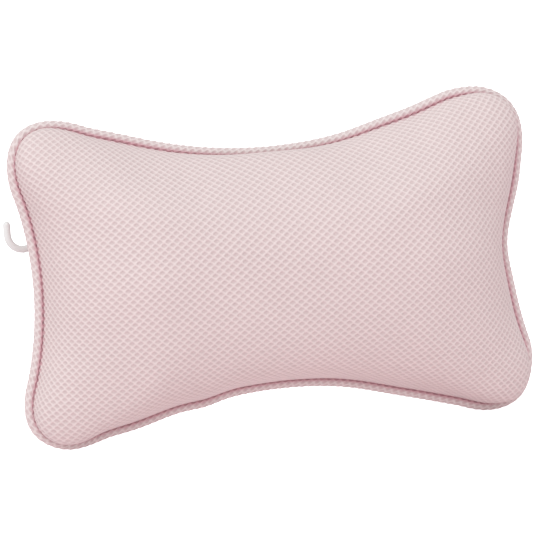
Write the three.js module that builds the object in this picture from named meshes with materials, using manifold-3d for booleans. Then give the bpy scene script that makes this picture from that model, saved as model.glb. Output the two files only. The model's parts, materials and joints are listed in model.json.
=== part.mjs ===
// Bath pillow: two crowned panels of air mesh sewn to a corded piping round a bone-shaped outline,
// stuffed with fibre, held on the bath wall by suction cups, with a hook on a strap to hang it up to dry.
// Millimetres. +X runs to the right, +Y back towards the bath wall and +Z up.
// The origin lies on the wall, in the middle of the cup rims.

import * as THREE from 'three';
import { mergeVertices } from 'three/addons/utils/BufferGeometryUtils.js';
import Module from 'manifold-3d';

const wasm = await Module();
wasm.setup();

// Pillow outline, over the piping
const pillowWidth = 320;
const pillowHeight = 200;
const topWaistDepth = 27;
const sideWaistDepth = 9.7;
const cornerRadius = 31; // of the piping's centre line

// Crowns of the panels over the seam plane, and the shape of their shoulders
const frontCrown = 46;
const backCrown = 36;
const frontFullness = 2.5;
const backFullness = 3.2;
const edgeSteepness = 2.1;
const innerContourWidth = 300; // of the ellipse that the inner contours round off to
const innerContourHeight = 156;
const ridgeLength = 140; // of the level stretch along the top of a crown
const panelThickness = 3;

// Piping: a strip of mesh folded round a cord, its two edges lying in the seam
const pipingDiameter = 6;
const pipingBore = 3.6;
const cordDiameter = 2.8;
const seamLayer = 1; // one sewn-down layer of the strip
const seamSlit = 0.3; // between the two layers
const seamAllowance = 7; // from the piping's edge to the strip's raw edge

// Suction cups, from the wall plane towards the pillow
const cupSpacingX = 160;
const cupSpacingZ = 76;
const cupDiameter = 50;
const cupLipWidth = 2.4;
const cupLipThickness = 1.4;
const cupHollowDepth = 7;
const cupHollowFullness = 2.4; // power of the curve inside the cup
const cupSkirtFlare = 0.8; // power of the curve outside the cup
const cupHeight = 15;
const shoulderDiameter = 18;
const shoulderThickness = 2;
const neckDiameter = 8.4;
const buttonDiameter = 15;
const buttonThickness = 5;

// Reinforcement patches and the sunk pads of the back panel that they lie in
const patchDiameter = 28;
const patchThickness = 1.2;
const padDiameter = 33;
const padDepth = 5; // below the back crown

// Strap and hook
const strapWidth = 8;
const strapThickness = 1;
const strapDrop = 16; // from its sewn edge down to the middle of the hook's bar
const strapTopInset = 25; // of its sewn edge from the pillow's top
const hookInset = 21.6; // of the hook's shank from the pillow's left edge
const hookRod = 3.7;
const barRod = 3;
const slotHeight = 4.4;
const slotCorner = 2.2;
const shankLength = 19.6;
const bendRadius = 9.2;
const tipLength = 6;

// Clearances
const seatGap = 0.3; // between pieces that lie on each other
const fillGap = 0.5; // between the stuffing and what encloses it
const neckGap = 0.4; // round a neck in its holes
const slotGap = 0.6; // at each edge of the strap in the hook's slot

// Facets
const cornerSteps = 7;
const topSteps = 4; // of half the top edge
const sideSteps = 3; // of half an end
const frontRings = 8;
const backRings = 5;
const tubeSides = 8;
const pipingSides = 8;
const boreSides = 6;
const cupSides = 28;
const padSides = 16;
const hookSides = 10;

// Materials
const airMesh = new THREE.MeshStandardMaterial({ color: 0xecd6d6, roughness: 0.9, metalness: 0 });
const pipingMesh = new THREE.MeshStandardMaterial({ color: 0xe9d0d1, roughness: 0.9, metalness: 0 });
const cordYarn = new THREE.MeshStandardMaterial({ color: 0xf2efea, roughness: 1, metalness: 0 });
const fibre = new THREE.MeshStandardMaterial({ color: 0xf7f6f4, roughness: 1, metalness: 0 });
const clearVinyl = new THREE.MeshStandardMaterial({ color: 0xdfe6e6, roughness: 0.15, metalness: 0 });
const patchCloth = new THREE.MeshStandardMaterial({ color: 0xeacfd1, roughness: 0.85, metalness: 0 });
const strapTape = new THREE.MeshStandardMaterial({ color: 0xf0e0e0, roughness: 0.8, metalness: 0 });
const hookPlastic = new THREE.MeshStandardMaterial({ color: 0xebe7e4, roughness: 0.4, metalness: 0 });

// Places that follow from the sizes
const pipingRadius = pipingDiameter / 2;
const panelInset = pipingRadius + seatGap; // of a panel's sewn edge from the piping's centre line
const seamHalf = seamSlit / 2 + seamLayer;
const panelBase = seamHalf + seatGap; // of a panel's sewn edge from the seam plane
const padHeight = backCrown - padDepth;
const patchFace = cupHeight + seatGap; // distance of the patch's outer face from the wall
const padFace = patchFace + patchThickness + seatGap;
const seamY = -padFace - padHeight;
const strapTopHeight = pillowHeight / 2 - strapTopInset;
const cupPlaces = [
  { name: 'upper_left', x: -cupSpacingX / 2, z: cupSpacingZ / 2 },
  { name: 'upper_right', x: cupSpacingX / 2, z: cupSpacingZ / 2 },
  { name: 'lower_left', x: -cupSpacingX / 2, z: -cupSpacingZ / 2 },
  { name: 'lower_right', x: cupSpacingX / 2, z: -cupSpacingZ / 2 },
];

const pillow = new THREE.Group();

// Deletes all but the positions, merges equal vertices and drops triangles that became lines
function weld(geometry) {
  const bare = geometry.clone();
  bare.deleteAttribute('normal');
  bare.deleteAttribute('uv');
  const merged = mergeVertices(bare, 1e-4);
  const corners = merged.index.array;
  const kept = [];
  for (let i = 0; i < corners.length; i += 3) {
    const [a, b, c] = corners.slice(i, i + 3);
    if (a !== b && b !== c && c !== a) kept.push(a, b, c);
  }
  merged.setIndex(kept);
  return merged;
}

// Turns a closed surface so that its faces point out
function outward(geometry) {
  const corners = geometry.index.array;
  const position = geometry.attributes.position;
  const [a, b, c] = [new THREE.Vector3(), new THREE.Vector3(), new THREE.Vector3()];
  let volume = 0;
  for (let i = 0; i < corners.length; i += 3) {
    a.fromBufferAttribute(position, corners[i]);
    b.fromBufferAttribute(position, corners[i + 1]);
    c.fromBufferAttribute(position, corners[i + 2]);
    volume += a.dot(b.cross(c));
  }
  if (volume < 0) geometry.setIndex(Array.from(corners).reverse());
  return geometry;
}

// Joins rings of points into one closed surface; a ring of one point is a pole.
// Each four-sided cell is split along its shorter diagonal, so that nested surfaces stay side by side.
function loft(rings, closed = false) {
  const points = rings.flat();
  const starts = [];
  let start = 0;
  for (const ring of rings) {
    starts.push(start);
    start += ring.length;
  }
  const triangles = [];
  const bands = closed ? rings.length : rings.length - 1;
  for (let i = 0; i < bands; i++) {
    const next = (i + 1) % rings.length;
    const sizeA = rings[i].length;
    const sizeB = rings[next].length;
    const count = Math.max(sizeA, sizeB);
    for (let j = 0; j < count; j++) {
      const k = (j + 1) % count;
      const a = starts[i] + (j % sizeA);
      const b = starts[i] + (k % sizeA);
      const c = starts[next] + (k % sizeB);
      const d = starts[next] + (j % sizeB);
      if (points[a].distanceTo(points[c]) < points[b].distanceTo(points[d])) {
        triangles.push(a, b, c, a, c, d);
      } else {
        triangles.push(a, b, d, b, c, d);
      }
    }
  }
  const geometry = new THREE.BufferGeometry().setFromPoints(points);
  geometry.setIndex(triangles);
  return outward(weld(geometry));
}

function toSolid(geometry) {
  const vertProperties = new Float32Array(geometry.attributes.position.array);
  const triVerts = new Uint32Array(geometry.index.array);
  return new wasm.Manifold(new wasm.Mesh({ numProp: 3, vertProperties, triVerts }));
}

function toGeometry(solid) {
  const mesh = solid.getMesh();
  const geometry = new THREE.BufferGeometry();
  geometry.setAttribute('position', new THREE.BufferAttribute(mesh.vertProperties, 3));
  geometry.setIndex(Array.from(mesh.triVerts));
  return geometry;
}

// A body turned about a line along Y through (x, z), from a profile of [radius, y] points
function turned(profile, sides, x, z) {
  const points = profile.map(([radius, y]) => new THREE.Vector2(radius, y));
  const geometry = outward(weld(new THREE.LatheGeometry(points, sides)));
  return geometry.translate(x, 0, z);
}

function addPiece(name, geometry, material) {
  geometry.computeVertexNormals();
  const piece = new THREE.Mesh(geometry, material);
  piece.name = name;
  pillow.add(piece);
  return piece;
}

// Points [x, z] of the bone-shaped outline, drawn in by an inset from the piping's centre line.
// Four corner arcs bulge out, and the arcs between them are hollow and meet them smoothly.
function outline(inset) {
  const cornerX = pillowWidth / 2 - pipingRadius - cornerRadius;
  const cornerZ = pillowHeight / 2 - pipingRadius - cornerRadius;
  const topRise = cornerRadius - topWaistDepth;
  const sideRise = cornerRadius - sideWaistDepth;
  const topRadius = (cornerX ** 2 + topRise ** 2 - cornerRadius ** 2) / (2 * (cornerRadius - topRise));
  const sideRadius = (cornerZ ** 2 + sideRise ** 2 - cornerRadius ** 2) / (2 * (cornerRadius - sideRise));
  const topSweep = Math.asin(cornerX / (topRadius + cornerRadius));
  const sideSweep = Math.asin(cornerZ / (sideRadius + cornerRadius));
  const sideCentre = cornerX + sideRise + sideRadius;
  const topCentre = cornerZ + topRise + topRadius;
  const quarter = [];
  for (let i = 0; i < sideSteps; i++) {
    const angle = (sideSweep * i) / sideSteps;
    const radius = sideRadius + inset;
    quarter.push([sideCentre - radius * Math.cos(angle), radius * Math.sin(angle)]);
  }
  for (let i = 0; i < cornerSteps; i++) {
    const sweep = Math.PI / 2 + sideSweep + topSweep;
    const angle = -sideSweep + (sweep * i) / cornerSteps;
    const radius = cornerRadius - inset;
    quarter.push([cornerX + radius * Math.cos(angle), cornerZ + radius * Math.sin(angle)]);
  }
  for (let i = 0; i < topSteps; i++) {
    const angle = topSweep * (1 - i / topSteps);
    const radius = topRadius + inset;
    quarter.push([radius * Math.sin(angle), topCentre - radius * Math.cos(angle)]);
  }
  const waist = [0, cornerZ + topRise - inset];
  const end = quarter[0];
  const half = [...quarter, waist, ...quarter.slice(1).reverse().map(([x, z]) => [-x, z])];
  const lower = half.slice().reverse().map(([x, z]) => [x, -z]);
  return [...half, [-end[0], 0], ...lower].slice(0, 4 * quarter.length);
}

// Ring of the outline at a height over the seam plane; side is -1 for the front and 1 for the back
function seamRing(inset, height, side) {
  return outline(inset).map(([x, z]) => new THREE.Vector3(x, seamY + side * height, z));
}

// Rings of a crowned surface from the level ridge along its middle out to the sewn edge. The contours
// are bones at the edge, round off towards an ellipse further in and close up on the ridge.
function crownRings(inset, base, crown, fullness, ringCount, side) {
  const ridge = ridgeLength / innerContourWidth;
  const rings = [];
  for (let k = 0; k <= ringCount; k++) {
    const share = Math.sin((Math.PI / 2) * (k / ringCount));
    const height = base + (crown - base) * (1 - share ** fullness) ** (1 / edgeSteepness);
    rings.push(outline(inset).map(([x, z]) => {
      const ellipse = 1 / Math.hypot((2 * x) / innerContourWidth, (2 * z) / innerContourHeight);
      const scale = ellipse + (1 - ellipse) * share ** 2;
      const scaleX = scale * (ridge + (1 - ridge) * share);
      return new THREE.Vector3(x * scaleX, seamY + side * height, z * scale * share);
    }));
  }
  return rings;
}

// Solid crowned body with a flat back at a height over the seam plane
function crownBody(inset, floor, crown, fullness, ringCount, side) {
  const rings = crownRings(inset, panelBase, crown, fullness, ringCount, side);
  if (floor < panelBase) rings.push(seamRing(inset, floor, side));
  rings.push([new THREE.Vector3(0, seamY + side * floor, 0)]);
  return toSolid(loft(rings));
}

// Plug on a cup's axis: a pad-sized part out of the pillow from padY, and a button-sized part from buttonY
function padPlug(place, padRadius, padY, buttonRadius, buttonY) {
  const top = 0;
  const profile = [[0, buttonY], [buttonRadius, buttonY], [buttonRadius, padY], [padRadius, padY],
    [padRadius, top], [0, top]];
  return toSolid(turned(profile, padSides, place.x, place.z));
}

function makeFrontPanel() {
  const outer = crownRings(panelInset, panelBase, frontCrown, frontFullness, frontRings, -1);
  const innerInset = panelInset + panelThickness;
  const innerCrown = frontCrown - panelThickness;
  const inner = crownRings(innerInset, panelBase, innerCrown, frontFullness, frontRings, -1);
  return addPiece('front_panel', loft([...outer, ...inner.reverse()]), airMesh);
}

// The back panel is a shell of even thickness that steps down to a flat pad at each cup
function makeBackPanel() {
  const innerInset = panelInset + panelThickness;
  let outer = crownBody(panelInset, panelBase, backCrown, backFullness, backRings, 1);
  let inner = crownBody(innerInset, 0, backCrown - panelThickness, backFullness, backRings, 1);
  const padRadius = padDiameter / 2;
  const holeRadius = neckDiameter / 2 + neckGap;
  for (const place of cupPlaces) {
    const padBottom = -padFace - panelThickness;
    outer = outer.subtract(padPlug(place, padRadius, -padFace, holeRadius, padBottom - panelThickness));
    inner = inner.subtract(padPlug(place, padRadius + panelThickness, padBottom, holeRadius, padBottom));
  }
  return addPiece('back_panel', toGeometry(outer.subtract(inner)), airMesh);
}

// The strip wraps the cord and its two layers lie side by side in the seam
function makePipingCover() {
  const boreRadius = pipingBore / 2;
  const stripEnd = pipingRadius + seamAllowance;
  const outerMouth = Math.asin(seamHalf / pipingRadius);
  const boreMouth = Math.asin(seamSlit / 2 / boreRadius);
  const section = [[stripEnd, seamHalf]];
  for (let i = 0; i <= pipingSides; i++) {
    const angle = outerMouth + ((2 * Math.PI - 2 * outerMouth) * i) / pipingSides;
    section.push([pipingRadius * Math.cos(angle), pipingRadius * Math.sin(angle)]);
  }
  section.push([stripEnd, -seamHalf], [stripEnd, -seamSlit / 2]);
  for (let i = 0; i <= boreSides; i++) {
    const angle = -boreMouth - ((2 * Math.PI - 2 * boreMouth) * i) / boreSides;
    section.push([boreRadius * Math.cos(angle), boreRadius * Math.sin(angle)]);
  }
  section.push([stripEnd, seamSlit / 2]);
  const rings = section.map(([inset, height]) => seamRing(inset, height, 1));
  return addPiece('piping_cover', loft(rings, true), pipingMesh);
}

function makePipingCord() {
  const rings = [];
  for (let i = 0; i < tubeSides; i++) {
    const angle = (2 * Math.PI * i) / tubeSides;
    const radius = cordDiameter / 2;
    rings.push(seamRing(radius * Math.cos(angle), radius * Math.sin(angle), 1));
  }
  return addPiece('piping_cord', loft(rings, true), cordYarn);
}

// The stuffing fills both panels, with a groove for the piping's strip and pockets for pads and buttons
function makeFibreFill() {
  const inset = panelInset + panelThickness + fillGap;
  const grooveInset = pipingRadius + seamAllowance + fillGap;
  const grooveHalf = seamHalf + fillGap;
  const inner = panelThickness + fillGap;
  const front = crownRings(inset, grooveHalf, frontCrown - inner, frontFullness, frontRings, -1);
  const back = crownRings(inset, grooveHalf, backCrown - inner, backFullness, backRings, 1);
  const groove = [seamRing(grooveInset, grooveHalf, -1), seamRing(grooveInset, grooveHalf, 1)];
  let fill = toSolid(loft([...front, ...groove, ...back.reverse()]));
  const padRadius = padDiameter / 2 + inner;
  const buttonRadius = buttonDiameter / 2 + fillGap;
  const padY = -padFace - inner;
  const buttonY = -padFace - panelThickness - seatGap - buttonThickness - fillGap;
  for (const place of cupPlaces) {
    fill = fill.subtract(padPlug(place, padRadius, padY, buttonRadius, buttonY));
  }
  return addPiece('fibre_fill', toGeometry(fill), fibre);
}

// Cup with a flat lip on the wall, a domed skirt, a shoulder on the patch, a neck through patch and panel,
// and a round-topped button inside the panel
function makeSuctionCup(place) {
  const rim = cupDiameter / 2;
  const lip = rim - cupLipWidth;
  const shoulder = shoulderDiameter / 2;
  const neck = neckDiameter / 2;
  const button = buttonDiameter / 2;
  const skirtTop = -cupHeight + shoulderThickness;
  const buttonBase = -padFace - panelThickness - seatGap;
  const buttonTop = buttonBase - buttonThickness;
  const profile = [[0, -cupHollowDepth]];
  const arcSteps = 4;
  for (let i = 1; i <= arcSteps; i++) {
    const share = i / arcSteps;
    profile.push([lip * share, -cupHollowDepth * (1 - share ** cupHollowFullness)]);
  }
  profile.push([rim, 0], [rim, -cupLipThickness]);
  for (let i = 1; i <= arcSteps; i++) {
    const share = i / arcSteps;
    const radius = rim + (shoulder - rim) * share;
    profile.push([radius, -cupLipThickness + (skirtTop + cupLipThickness) * share ** cupSkirtFlare]);
  }
  profile.push([shoulder, -cupHeight], [neck, -cupHeight], [neck, buttonBase], [button, buttonBase]);
  for (let i = 1; i <= arcSteps; i++) {
    const angle = (Math.PI / 2) * (i / arcSteps);
    const radius = i === arcSteps ? 0 : button * Math.cos(angle);
    profile.push([radius, buttonBase + (buttonTop - buttonBase) * Math.sin(angle)]);
  }
  const cup = addPiece(`suction_cup_${place.name}`, turned(profile, cupSides, place.x, place.z), clearVinyl);
  cup.userData.hinge = { point: [place.x, 0, place.z], axis: [0, 1, 0] };
  return cup;
}

function makeCupPatch(place) {
  const hole = neckDiameter / 2 + neckGap;
  const rim = patchDiameter / 2;
  const inside = -patchFace - patchThickness;
  const profile = [[hole, -patchFace], [rim, -patchFace], [rim, inside], [hole, inside], [hole, -patchFace]];
  return addPiece(`cup_patch_${place.name}`, turned(profile, cupSides, place.x, place.z), patchCloth);
}

// Height of the back panel's face, as y, at a place seen from the wall
function backFace(panel, x, z) {
  const ray = new THREE.Raycaster(new THREE.Vector3(x, 0, z), new THREE.Vector3(0, -1, 0));
  return ray.intersectObject(panel)[0].point.y;
}

// Round rod along points of an XZ plane, with a radius at each point
function rod(points, radii, sides, closed) {
  const rings = points.map((point, i) => {
    const before = points[closed ? (i + points.length - 1) % points.length : Math.max(i - 1, 0)];
    const after = points[closed ? (i + 1) % points.length : Math.min(i + 1, points.length - 1)];
    const along = new THREE.Vector3().subVectors(after, before).normalize();
    const across = new THREE.Vector3(0, 1, 0).cross(along);
    const ring = [];
    for (let j = 0; j < sides; j++) {
      const angle = (2 * Math.PI * j) / sides;
      const offset = across.clone().multiplyScalar(radii[i] * Math.cos(angle));
      ring.push(point.clone().add(offset).add(new THREE.Vector3(0, radii[i] * Math.sin(angle), 0)));
    }
    return radii[i] === 0 ? [point.clone()] : ring;
  });
  if (!closed && rings[0].length > 1) rings.unshift([points[0].clone()]);
  return loft(rings, closed);
}

// Where the hook hangs: its bar lies against the back panel's shoulder
function hookPlace(backPanel) {
  const x = -pillowWidth / 2 + hookInset;
  const barZ = strapTopHeight - strapDrop;
  const frameHalf = strapWidth / 2 + slotGap + barRod;
  const frameLow = barZ - slotHeight - barRod - barRod / 2;
  const innerEdge = x + frameHalf;
  const highest = Math.max(backFace(backPanel, innerEdge, barZ), backFace(backPanel, innerEdge, frameLow));
  return new THREE.Vector3(x, highest + barRod / 2 + seatGap, barZ);
}

// A round-cornered frame for the strap above a shank, a half-round bend and a round tip
function makeHook(bar) {
  const halfWidth = strapWidth / 2 + slotGap + barRod / 2;
  const frameHeight = slotHeight + barRod;
  const frame = [];
  const arcSteps = 4;
  const corners = [[1, 0, 0], [-1, 0, 1], [-1, -1, 2], [1, -1, 3]];
  for (const [sideX, sideZ, quarter] of corners) {
    const centreX = bar.x + sideX * (halfWidth - slotCorner);
    const centreZ = bar.z + (sideZ === 0 ? -slotCorner : slotCorner - frameHeight);
    for (let i = 0; i <= arcSteps; i++) {
      const angle = (Math.PI / 2) * (quarter + i / arcSteps);
      const x = centreX + slotCorner * Math.cos(angle);
      frame.push(new THREE.Vector3(x, bar.y, centreZ + slotCorner * Math.sin(angle)));
    }
  }
  const frameBody = toSolid(rod(frame, frame.map(() => barRod / 2), hookSides, true));

  const rodRadius = hookRod / 2;
  const shankTop = bar.z - frameHeight;
  const bendZ = shankTop - shankLength;
  const bendX = bar.x - bendRadius;
  const bendSteps = 10;
  const path = [new THREE.Vector3(bar.x, bar.y, shankTop)];
  const radii = [rodRadius];
  for (let i = 0; i <= bendSteps; i++) {
    const angle = -Math.PI * (i / bendSteps);
    const x = bendX + bendRadius * Math.cos(angle);
    path.push(new THREE.Vector3(x, bar.y, bendZ + bendRadius * Math.sin(angle)));
    radii.push(rodRadius);
  }
  for (let i = 0; i <= arcSteps; i++) {
    const angle = (Math.PI / 2) * (i / arcSteps);
    const z = bendZ + tipLength + rodRadius * Math.sin(angle);
    path.push(new THREE.Vector3(bendX - bendRadius, bar.y, z));
    radii.push(i === arcSteps ? 0 : rodRadius * Math.cos(angle));
  }
  const shankBody = toSolid(rod(path, radii, hookSides, false));
  const hook = addPiece('hanging_hook', toGeometry(frameBody.add(shankBody)), hookPlastic);
  hook.userData.hinge = { point: bar.toArray(), axis: [1, 0, 0] };
  return hook;
}

// One tape folded round the hook's bar: down on the pillow's side, under the bar and up again.
// Its two ends are sewn down together along the top edge, where it lies flat on the sloping panel.
function makeStrap(backPanel, bar) {
  const half = strapWidth / 2;
  const rise = backFace(backPanel, bar.x + half, strapTopHeight) - backFace(backPanel, bar.x - half, strapTopHeight);
  const slope = Math.atan2(rise, strapWidth);
  const fold = barRod / 2 + seatGap + strapThickness / 2; // middle of the tape from the bar's axis
  const legSteps = 5;
  const foldSteps = 6;

  // Nearest that the middle of the tape comes to the panel at a height, turned by a twist about Z
  const restingY = (z, twist) => {
    const faces = [-half, 0, half].map((edge) => {
      return backFace(backPanel, bar.x + edge * Math.cos(twist), z) - edge * Math.sin(twist);
    });
    return Math.max(...faces) + (seatGap + strapThickness / 2) / Math.cos(twist);
  };

  // Section of the tape: four corners about its middle, with its face turned over by an angle about X
  const section = (y, z, twist, turn) => {
    const across = new THREE.Vector3(Math.cos(twist), Math.sin(twist), 0).multiplyScalar(half);
    const face = new THREE.Vector3(-Math.sin(twist), Math.cos(twist), 0).multiplyScalar(Math.cos(turn));
    face.setZ(Math.sin(turn)).multiplyScalar(strapThickness / 2);
    const middle = new THREE.Vector3(bar.x, y, z);
    return [[-1, -1], [1, -1], [1, 1], [-1, 1]].map(([sideways, outwards]) => {
      return middle.clone().addScaledVector(across, sideways).addScaledVector(face, outwards);
    });
  };

  const innerTop = restingY(strapTopHeight, slope);
  const innerLeg = [];
  const outerLeg = [];
  for (let i = 0; i < legSteps; i++) {
    const share = i / legSteps;
    const z = strapTopHeight - strapDrop * share;
    const twist = slope * (1 - share);
    const eased = innerTop + (bar.y - fold - innerTop) * share ** 2 * (3 - 2 * share);
    const innerY = Math.max(eased, restingY(z, twist));
    const apart = strapThickness + seatGap + (2 * fold - strapThickness - seatGap) * share ** 2;
    innerLeg.push(section(innerY, z, twist, 0));
    outerLeg.unshift(section(innerY + apart / Math.cos(twist), z, twist, Math.PI));
  }
  const bight = [];
  for (let i = 0; i <= foldSteps; i++) {
    const angle = Math.PI * (i / foldSteps);
    bight.push(section(bar.y - fold * Math.cos(angle), bar.z - fold * Math.sin(angle), 0, angle));
  }
  const middleOf = (corners) => [corners[0].clone().lerp(corners[2], 0.5)];
  const sections = [...innerLeg, ...bight, ...outerLeg];
  const geometry = loft([middleOf(sections[0]), ...sections, middleOf(sections.at(-1))]);
  const strap = addPiece('hook_strap', geometry, strapTape);
  const sewnFace = innerTop - strapThickness / 2 / Math.cos(slope);
  strap.userData.hinge = {
    point: [bar.x, sewnFace, strapTopHeight],
    axis: [Math.cos(slope), Math.sin(slope), 0],
  };
  return strap;
}

makeFrontPanel();
const backPanel = makeBackPanel();
makePipingCover();
makePipingCord();
makeFibreFill();
for (const place of cupPlaces) {
  makeCupPatch(place);
  makeSuctionCup(place);
}
const bar = hookPlace(backPanel);
makeStrap(backPanel, bar);
makeHook(bar);

export default pillow;
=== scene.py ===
import json
import math

import bpy
import numpy as np
from bpy.props import FloatProperty, FloatVectorProperty, IntProperty, PointerProperty
from bpy.types import Operator, Panel, PropertyGroup
from mathutils import Matrix, Vector
from mathutils.bvhtree import BVHTree


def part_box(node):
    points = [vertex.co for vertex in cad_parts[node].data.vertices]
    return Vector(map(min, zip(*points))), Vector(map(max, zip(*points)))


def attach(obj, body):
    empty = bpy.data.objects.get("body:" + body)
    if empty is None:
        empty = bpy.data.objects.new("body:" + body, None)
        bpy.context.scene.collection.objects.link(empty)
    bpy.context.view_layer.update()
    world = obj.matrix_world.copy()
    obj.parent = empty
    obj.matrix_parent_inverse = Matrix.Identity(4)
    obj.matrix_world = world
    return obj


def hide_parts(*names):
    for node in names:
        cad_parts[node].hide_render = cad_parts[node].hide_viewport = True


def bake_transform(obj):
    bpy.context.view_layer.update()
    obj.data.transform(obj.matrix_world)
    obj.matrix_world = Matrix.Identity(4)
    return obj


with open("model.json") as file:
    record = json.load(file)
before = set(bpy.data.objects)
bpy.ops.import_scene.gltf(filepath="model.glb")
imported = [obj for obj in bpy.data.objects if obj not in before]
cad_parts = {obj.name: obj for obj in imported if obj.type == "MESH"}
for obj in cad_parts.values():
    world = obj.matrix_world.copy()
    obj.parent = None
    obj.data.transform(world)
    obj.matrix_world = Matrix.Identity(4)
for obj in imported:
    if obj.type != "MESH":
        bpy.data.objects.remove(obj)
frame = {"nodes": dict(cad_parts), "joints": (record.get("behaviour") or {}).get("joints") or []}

bl_info = {
    "name": "Air-mesh bath pillow",
    "version": (1, 0, 0),
    "blender": (4, 5, 0),
    "location": "View3D > Sidebar > Bath pillow",
    "description": "Builds the looks of a bone-shaped bath pillow of knitted air mesh on its CAD frame",
    "category": "Object",
}

# Places read from the frame, in metres
PIPING_LOW, PIPING_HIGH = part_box("piping_cover")
PATCH_LOW, PATCH_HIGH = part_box("cup_patch_upper_left")
FRONT_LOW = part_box("front_panel")[0]
CUP_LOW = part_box("suction_cup_upper_left")[0]
SEAM_Y = (PIPING_LOW.y + PIPING_HIGH.y) / 2
JOINTS = {joint["name"]: joint for joint in frame["joints"]}
CORNERS = ("upper_left", "upper_right", "lower_left", "lower_right")
MM = 0.001
# Where the sewn line has settled off its drawn arcs: x and z of the place, reach and outward shift, in mm
SETTLED = (
    (152, 42, 24, 4.4),
    (149, 0, 16, -1.8),
    (-148, 86, 17, 4.4),
    (-117, 95, 20, -2.8),
    (-118, -95, 20, -5.2),
    (-154, -80, 14, 2.2),
    (147, -88, 13, 2.2),
    (117, -95, 15, -2.0),
    (70, -79, 26, 1.7),
    (72, 80, 22, 1.3),
    (151, 79, 16, 2.9),
    (124, 97, 13, -1.8),
    (-50, -79, 12, 2.0),
)


def length(name, description, default):
    """A length property, in metres."""
    return FloatProperty(name=name, description=description, default=default, unit="LENGTH", precision=5)


def share(name, description, default):
    """A property between 0 and 1."""
    return FloatProperty(name=name, description=description, default=default, min=0, max=1, subtype="FACTOR")


def number(name, description, default):
    """A plain number property."""
    return FloatProperty(name=name, description=description, default=default, precision=4)


def count(name, description, default):
    """A whole number property."""
    return IntProperty(name=name, description=description, default=default, min=1)


def turn(name, description, degrees):
    """An angle property, given here in degrees."""
    return FloatProperty(name=name, description=description, default=math.radians(degrees), subtype="ANGLE")


def colour(name, description, red, green, blue):
    """A colour property, given here as 8-bit display values."""
    linear = []
    for value in (red, green, blue):
        part = value / 255
        linear.append(part / 12.92 if part <= 0.04045 else ((part + 0.055) / 1.055) ** 2.4)
    return FloatVectorProperty(
        name=name, description=description, default=linear, min=0, max=1, subtype="COLOR"
    )


class PillowShape(PropertyGroup):
    """The sewn form of the pillow."""

    width: length("Width", "Over the piping", PIPING_HIGH.x - PIPING_LOW.x)
    height: length("Height", "Over the piping, at the lobes", PIPING_HIGH.z - PIPING_LOW.z)
    top_waist: length("Top waist", "Depth of the waist in the top and bottom edges", 27 * MM)
    end_waist: length("End waist", "Depth of the waist in the two ends", 9.7 * MM)
    lobe_radius: length("Lobe radius", "Of the piping's middle line round a corner lobe", 31 * MM)
    piping_radius: length("Piping radius", "Of the covered piping", (PIPING_HIGH.y - PIPING_LOW.y) / 2)
    seam_inset: length("Seam inset", "Of the sewn edge from the piping's middle line", 1.6 * MM)
    margin: length("Seam margin", "Cloth of each panel that is turned in at the seam", 5 * MM)
    columns: count("Columns", "Grid cells across one panel", 104)
    rows: count("Rows", "Grid cells up one panel", 64)
    start_share: share("Start", "Part of the packed height that the front's cloth starts from", 0.93)
    pressure: number("Pressure", "Of the stuffing on the cloth", 4.0)
    swell_limit: length("Swell limit", "Furthest that the cloth may move off its start", 6 * MM)
    lobe_swell: length("Lobe swell", "How far a panel's wall stands out round the lobes", 10 * MM)
    end_swell: length("End swell", "How far a panel's wall stands out at the two ends", 0.6 * MM)
    waist_swell: length("Waist swell", "How far a panel's wall stands out at the top and bottom", 1 * MM)
    top_swell: length("Top swell", "How far a wall stands out beyond that in the top waist", 7.5 * MM)
    top_swell_place: length("Top swell place", "Of the top swell, right of the pillow's middle", 1 * MM)
    top_swell_reach: length("Top swell reach", "Sideways, over which the top swell runs out", 58 * MM)
    end_taper: share("End taper", "Part by which the front's two ends stand lower than the packed ones", 0.12)
    top_ease: share("Top ease", "Part by which the front stands lower beside the top seam", 0.5)
    pad_radius: length("Pad radius", "Of the flat seat under a suction cup", 15 * MM)
    pad_blend: length("Pad blend", "Radius at which the seat has run out into the panel", 31 * MM)


class AirMesh(PropertyGroup):
    """The knitted spacer mesh of the panels and the piping."""

    cell_width: length("Cell width", "From one hole to the next in a row", 5.4 * MM)
    cell_height: length("Cell height", "From one row of holes to the next but one", 4.5 * MM)
    hole_width: length("Hole width", "Across a hole at its brim", 3.9 * MM)
    hole_height: length("Hole height", "Up a hole at its brim", 2.7 * MM)
    floor_share: share("Floor", "Size of a hole's floor beside its brim", 0.78)
    hole_depth: length("Hole depth", "From the yarn to a hole's floor", 0.34 * MM)
    knot_rise: length("Knot rise", "Height of the crossings over the cloth", 0.28 * MM)
    strand_rise: length("Strand rise", "Height of the strands over the cloth", 0.13 * MM)
    brim_drop: length("Brim drop", "Depth of a hole's brim under the cloth", 0.06 * MM)
    gather: share("Gather", "Part by which the cells are drawn together towards the lobes", 0.1)
    piping_repeats: count("Piping repeats", "Holes along the piping", 216)
    piping_rows: count("Piping rows", "Holes round the piping", 4)
    piping_slant: count("Piping slant", "Cells by which the net shifts along the piping in one turn", 2)
    piping_relief: share("Piping relief", "Of the mesh stretched over the cord, beside the panels' mesh", 0.5)
    yarn: colour("Yarn", "Lit face of the knitted strands", 232, 214, 212)
    # The hole colour is partly the greyer pile under the net and partly painted shade in the hollows
    hole: colour("Hole", "Floor of the holes", 210, 188, 187)
    # The seam colour is painted shade: the darker pink that shadow and bounced light give the groove between
    # piping and panels
    seam: colour("Seam", "Stretched cloth in the seam groove", 222, 168, 178)
    sheen: colour("Sheen", "Light caught by the fine hairs of the yarn", 255, 228, 230)
    piping: colour("Piping", "Strands of the piping", 231, 216, 214)


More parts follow.
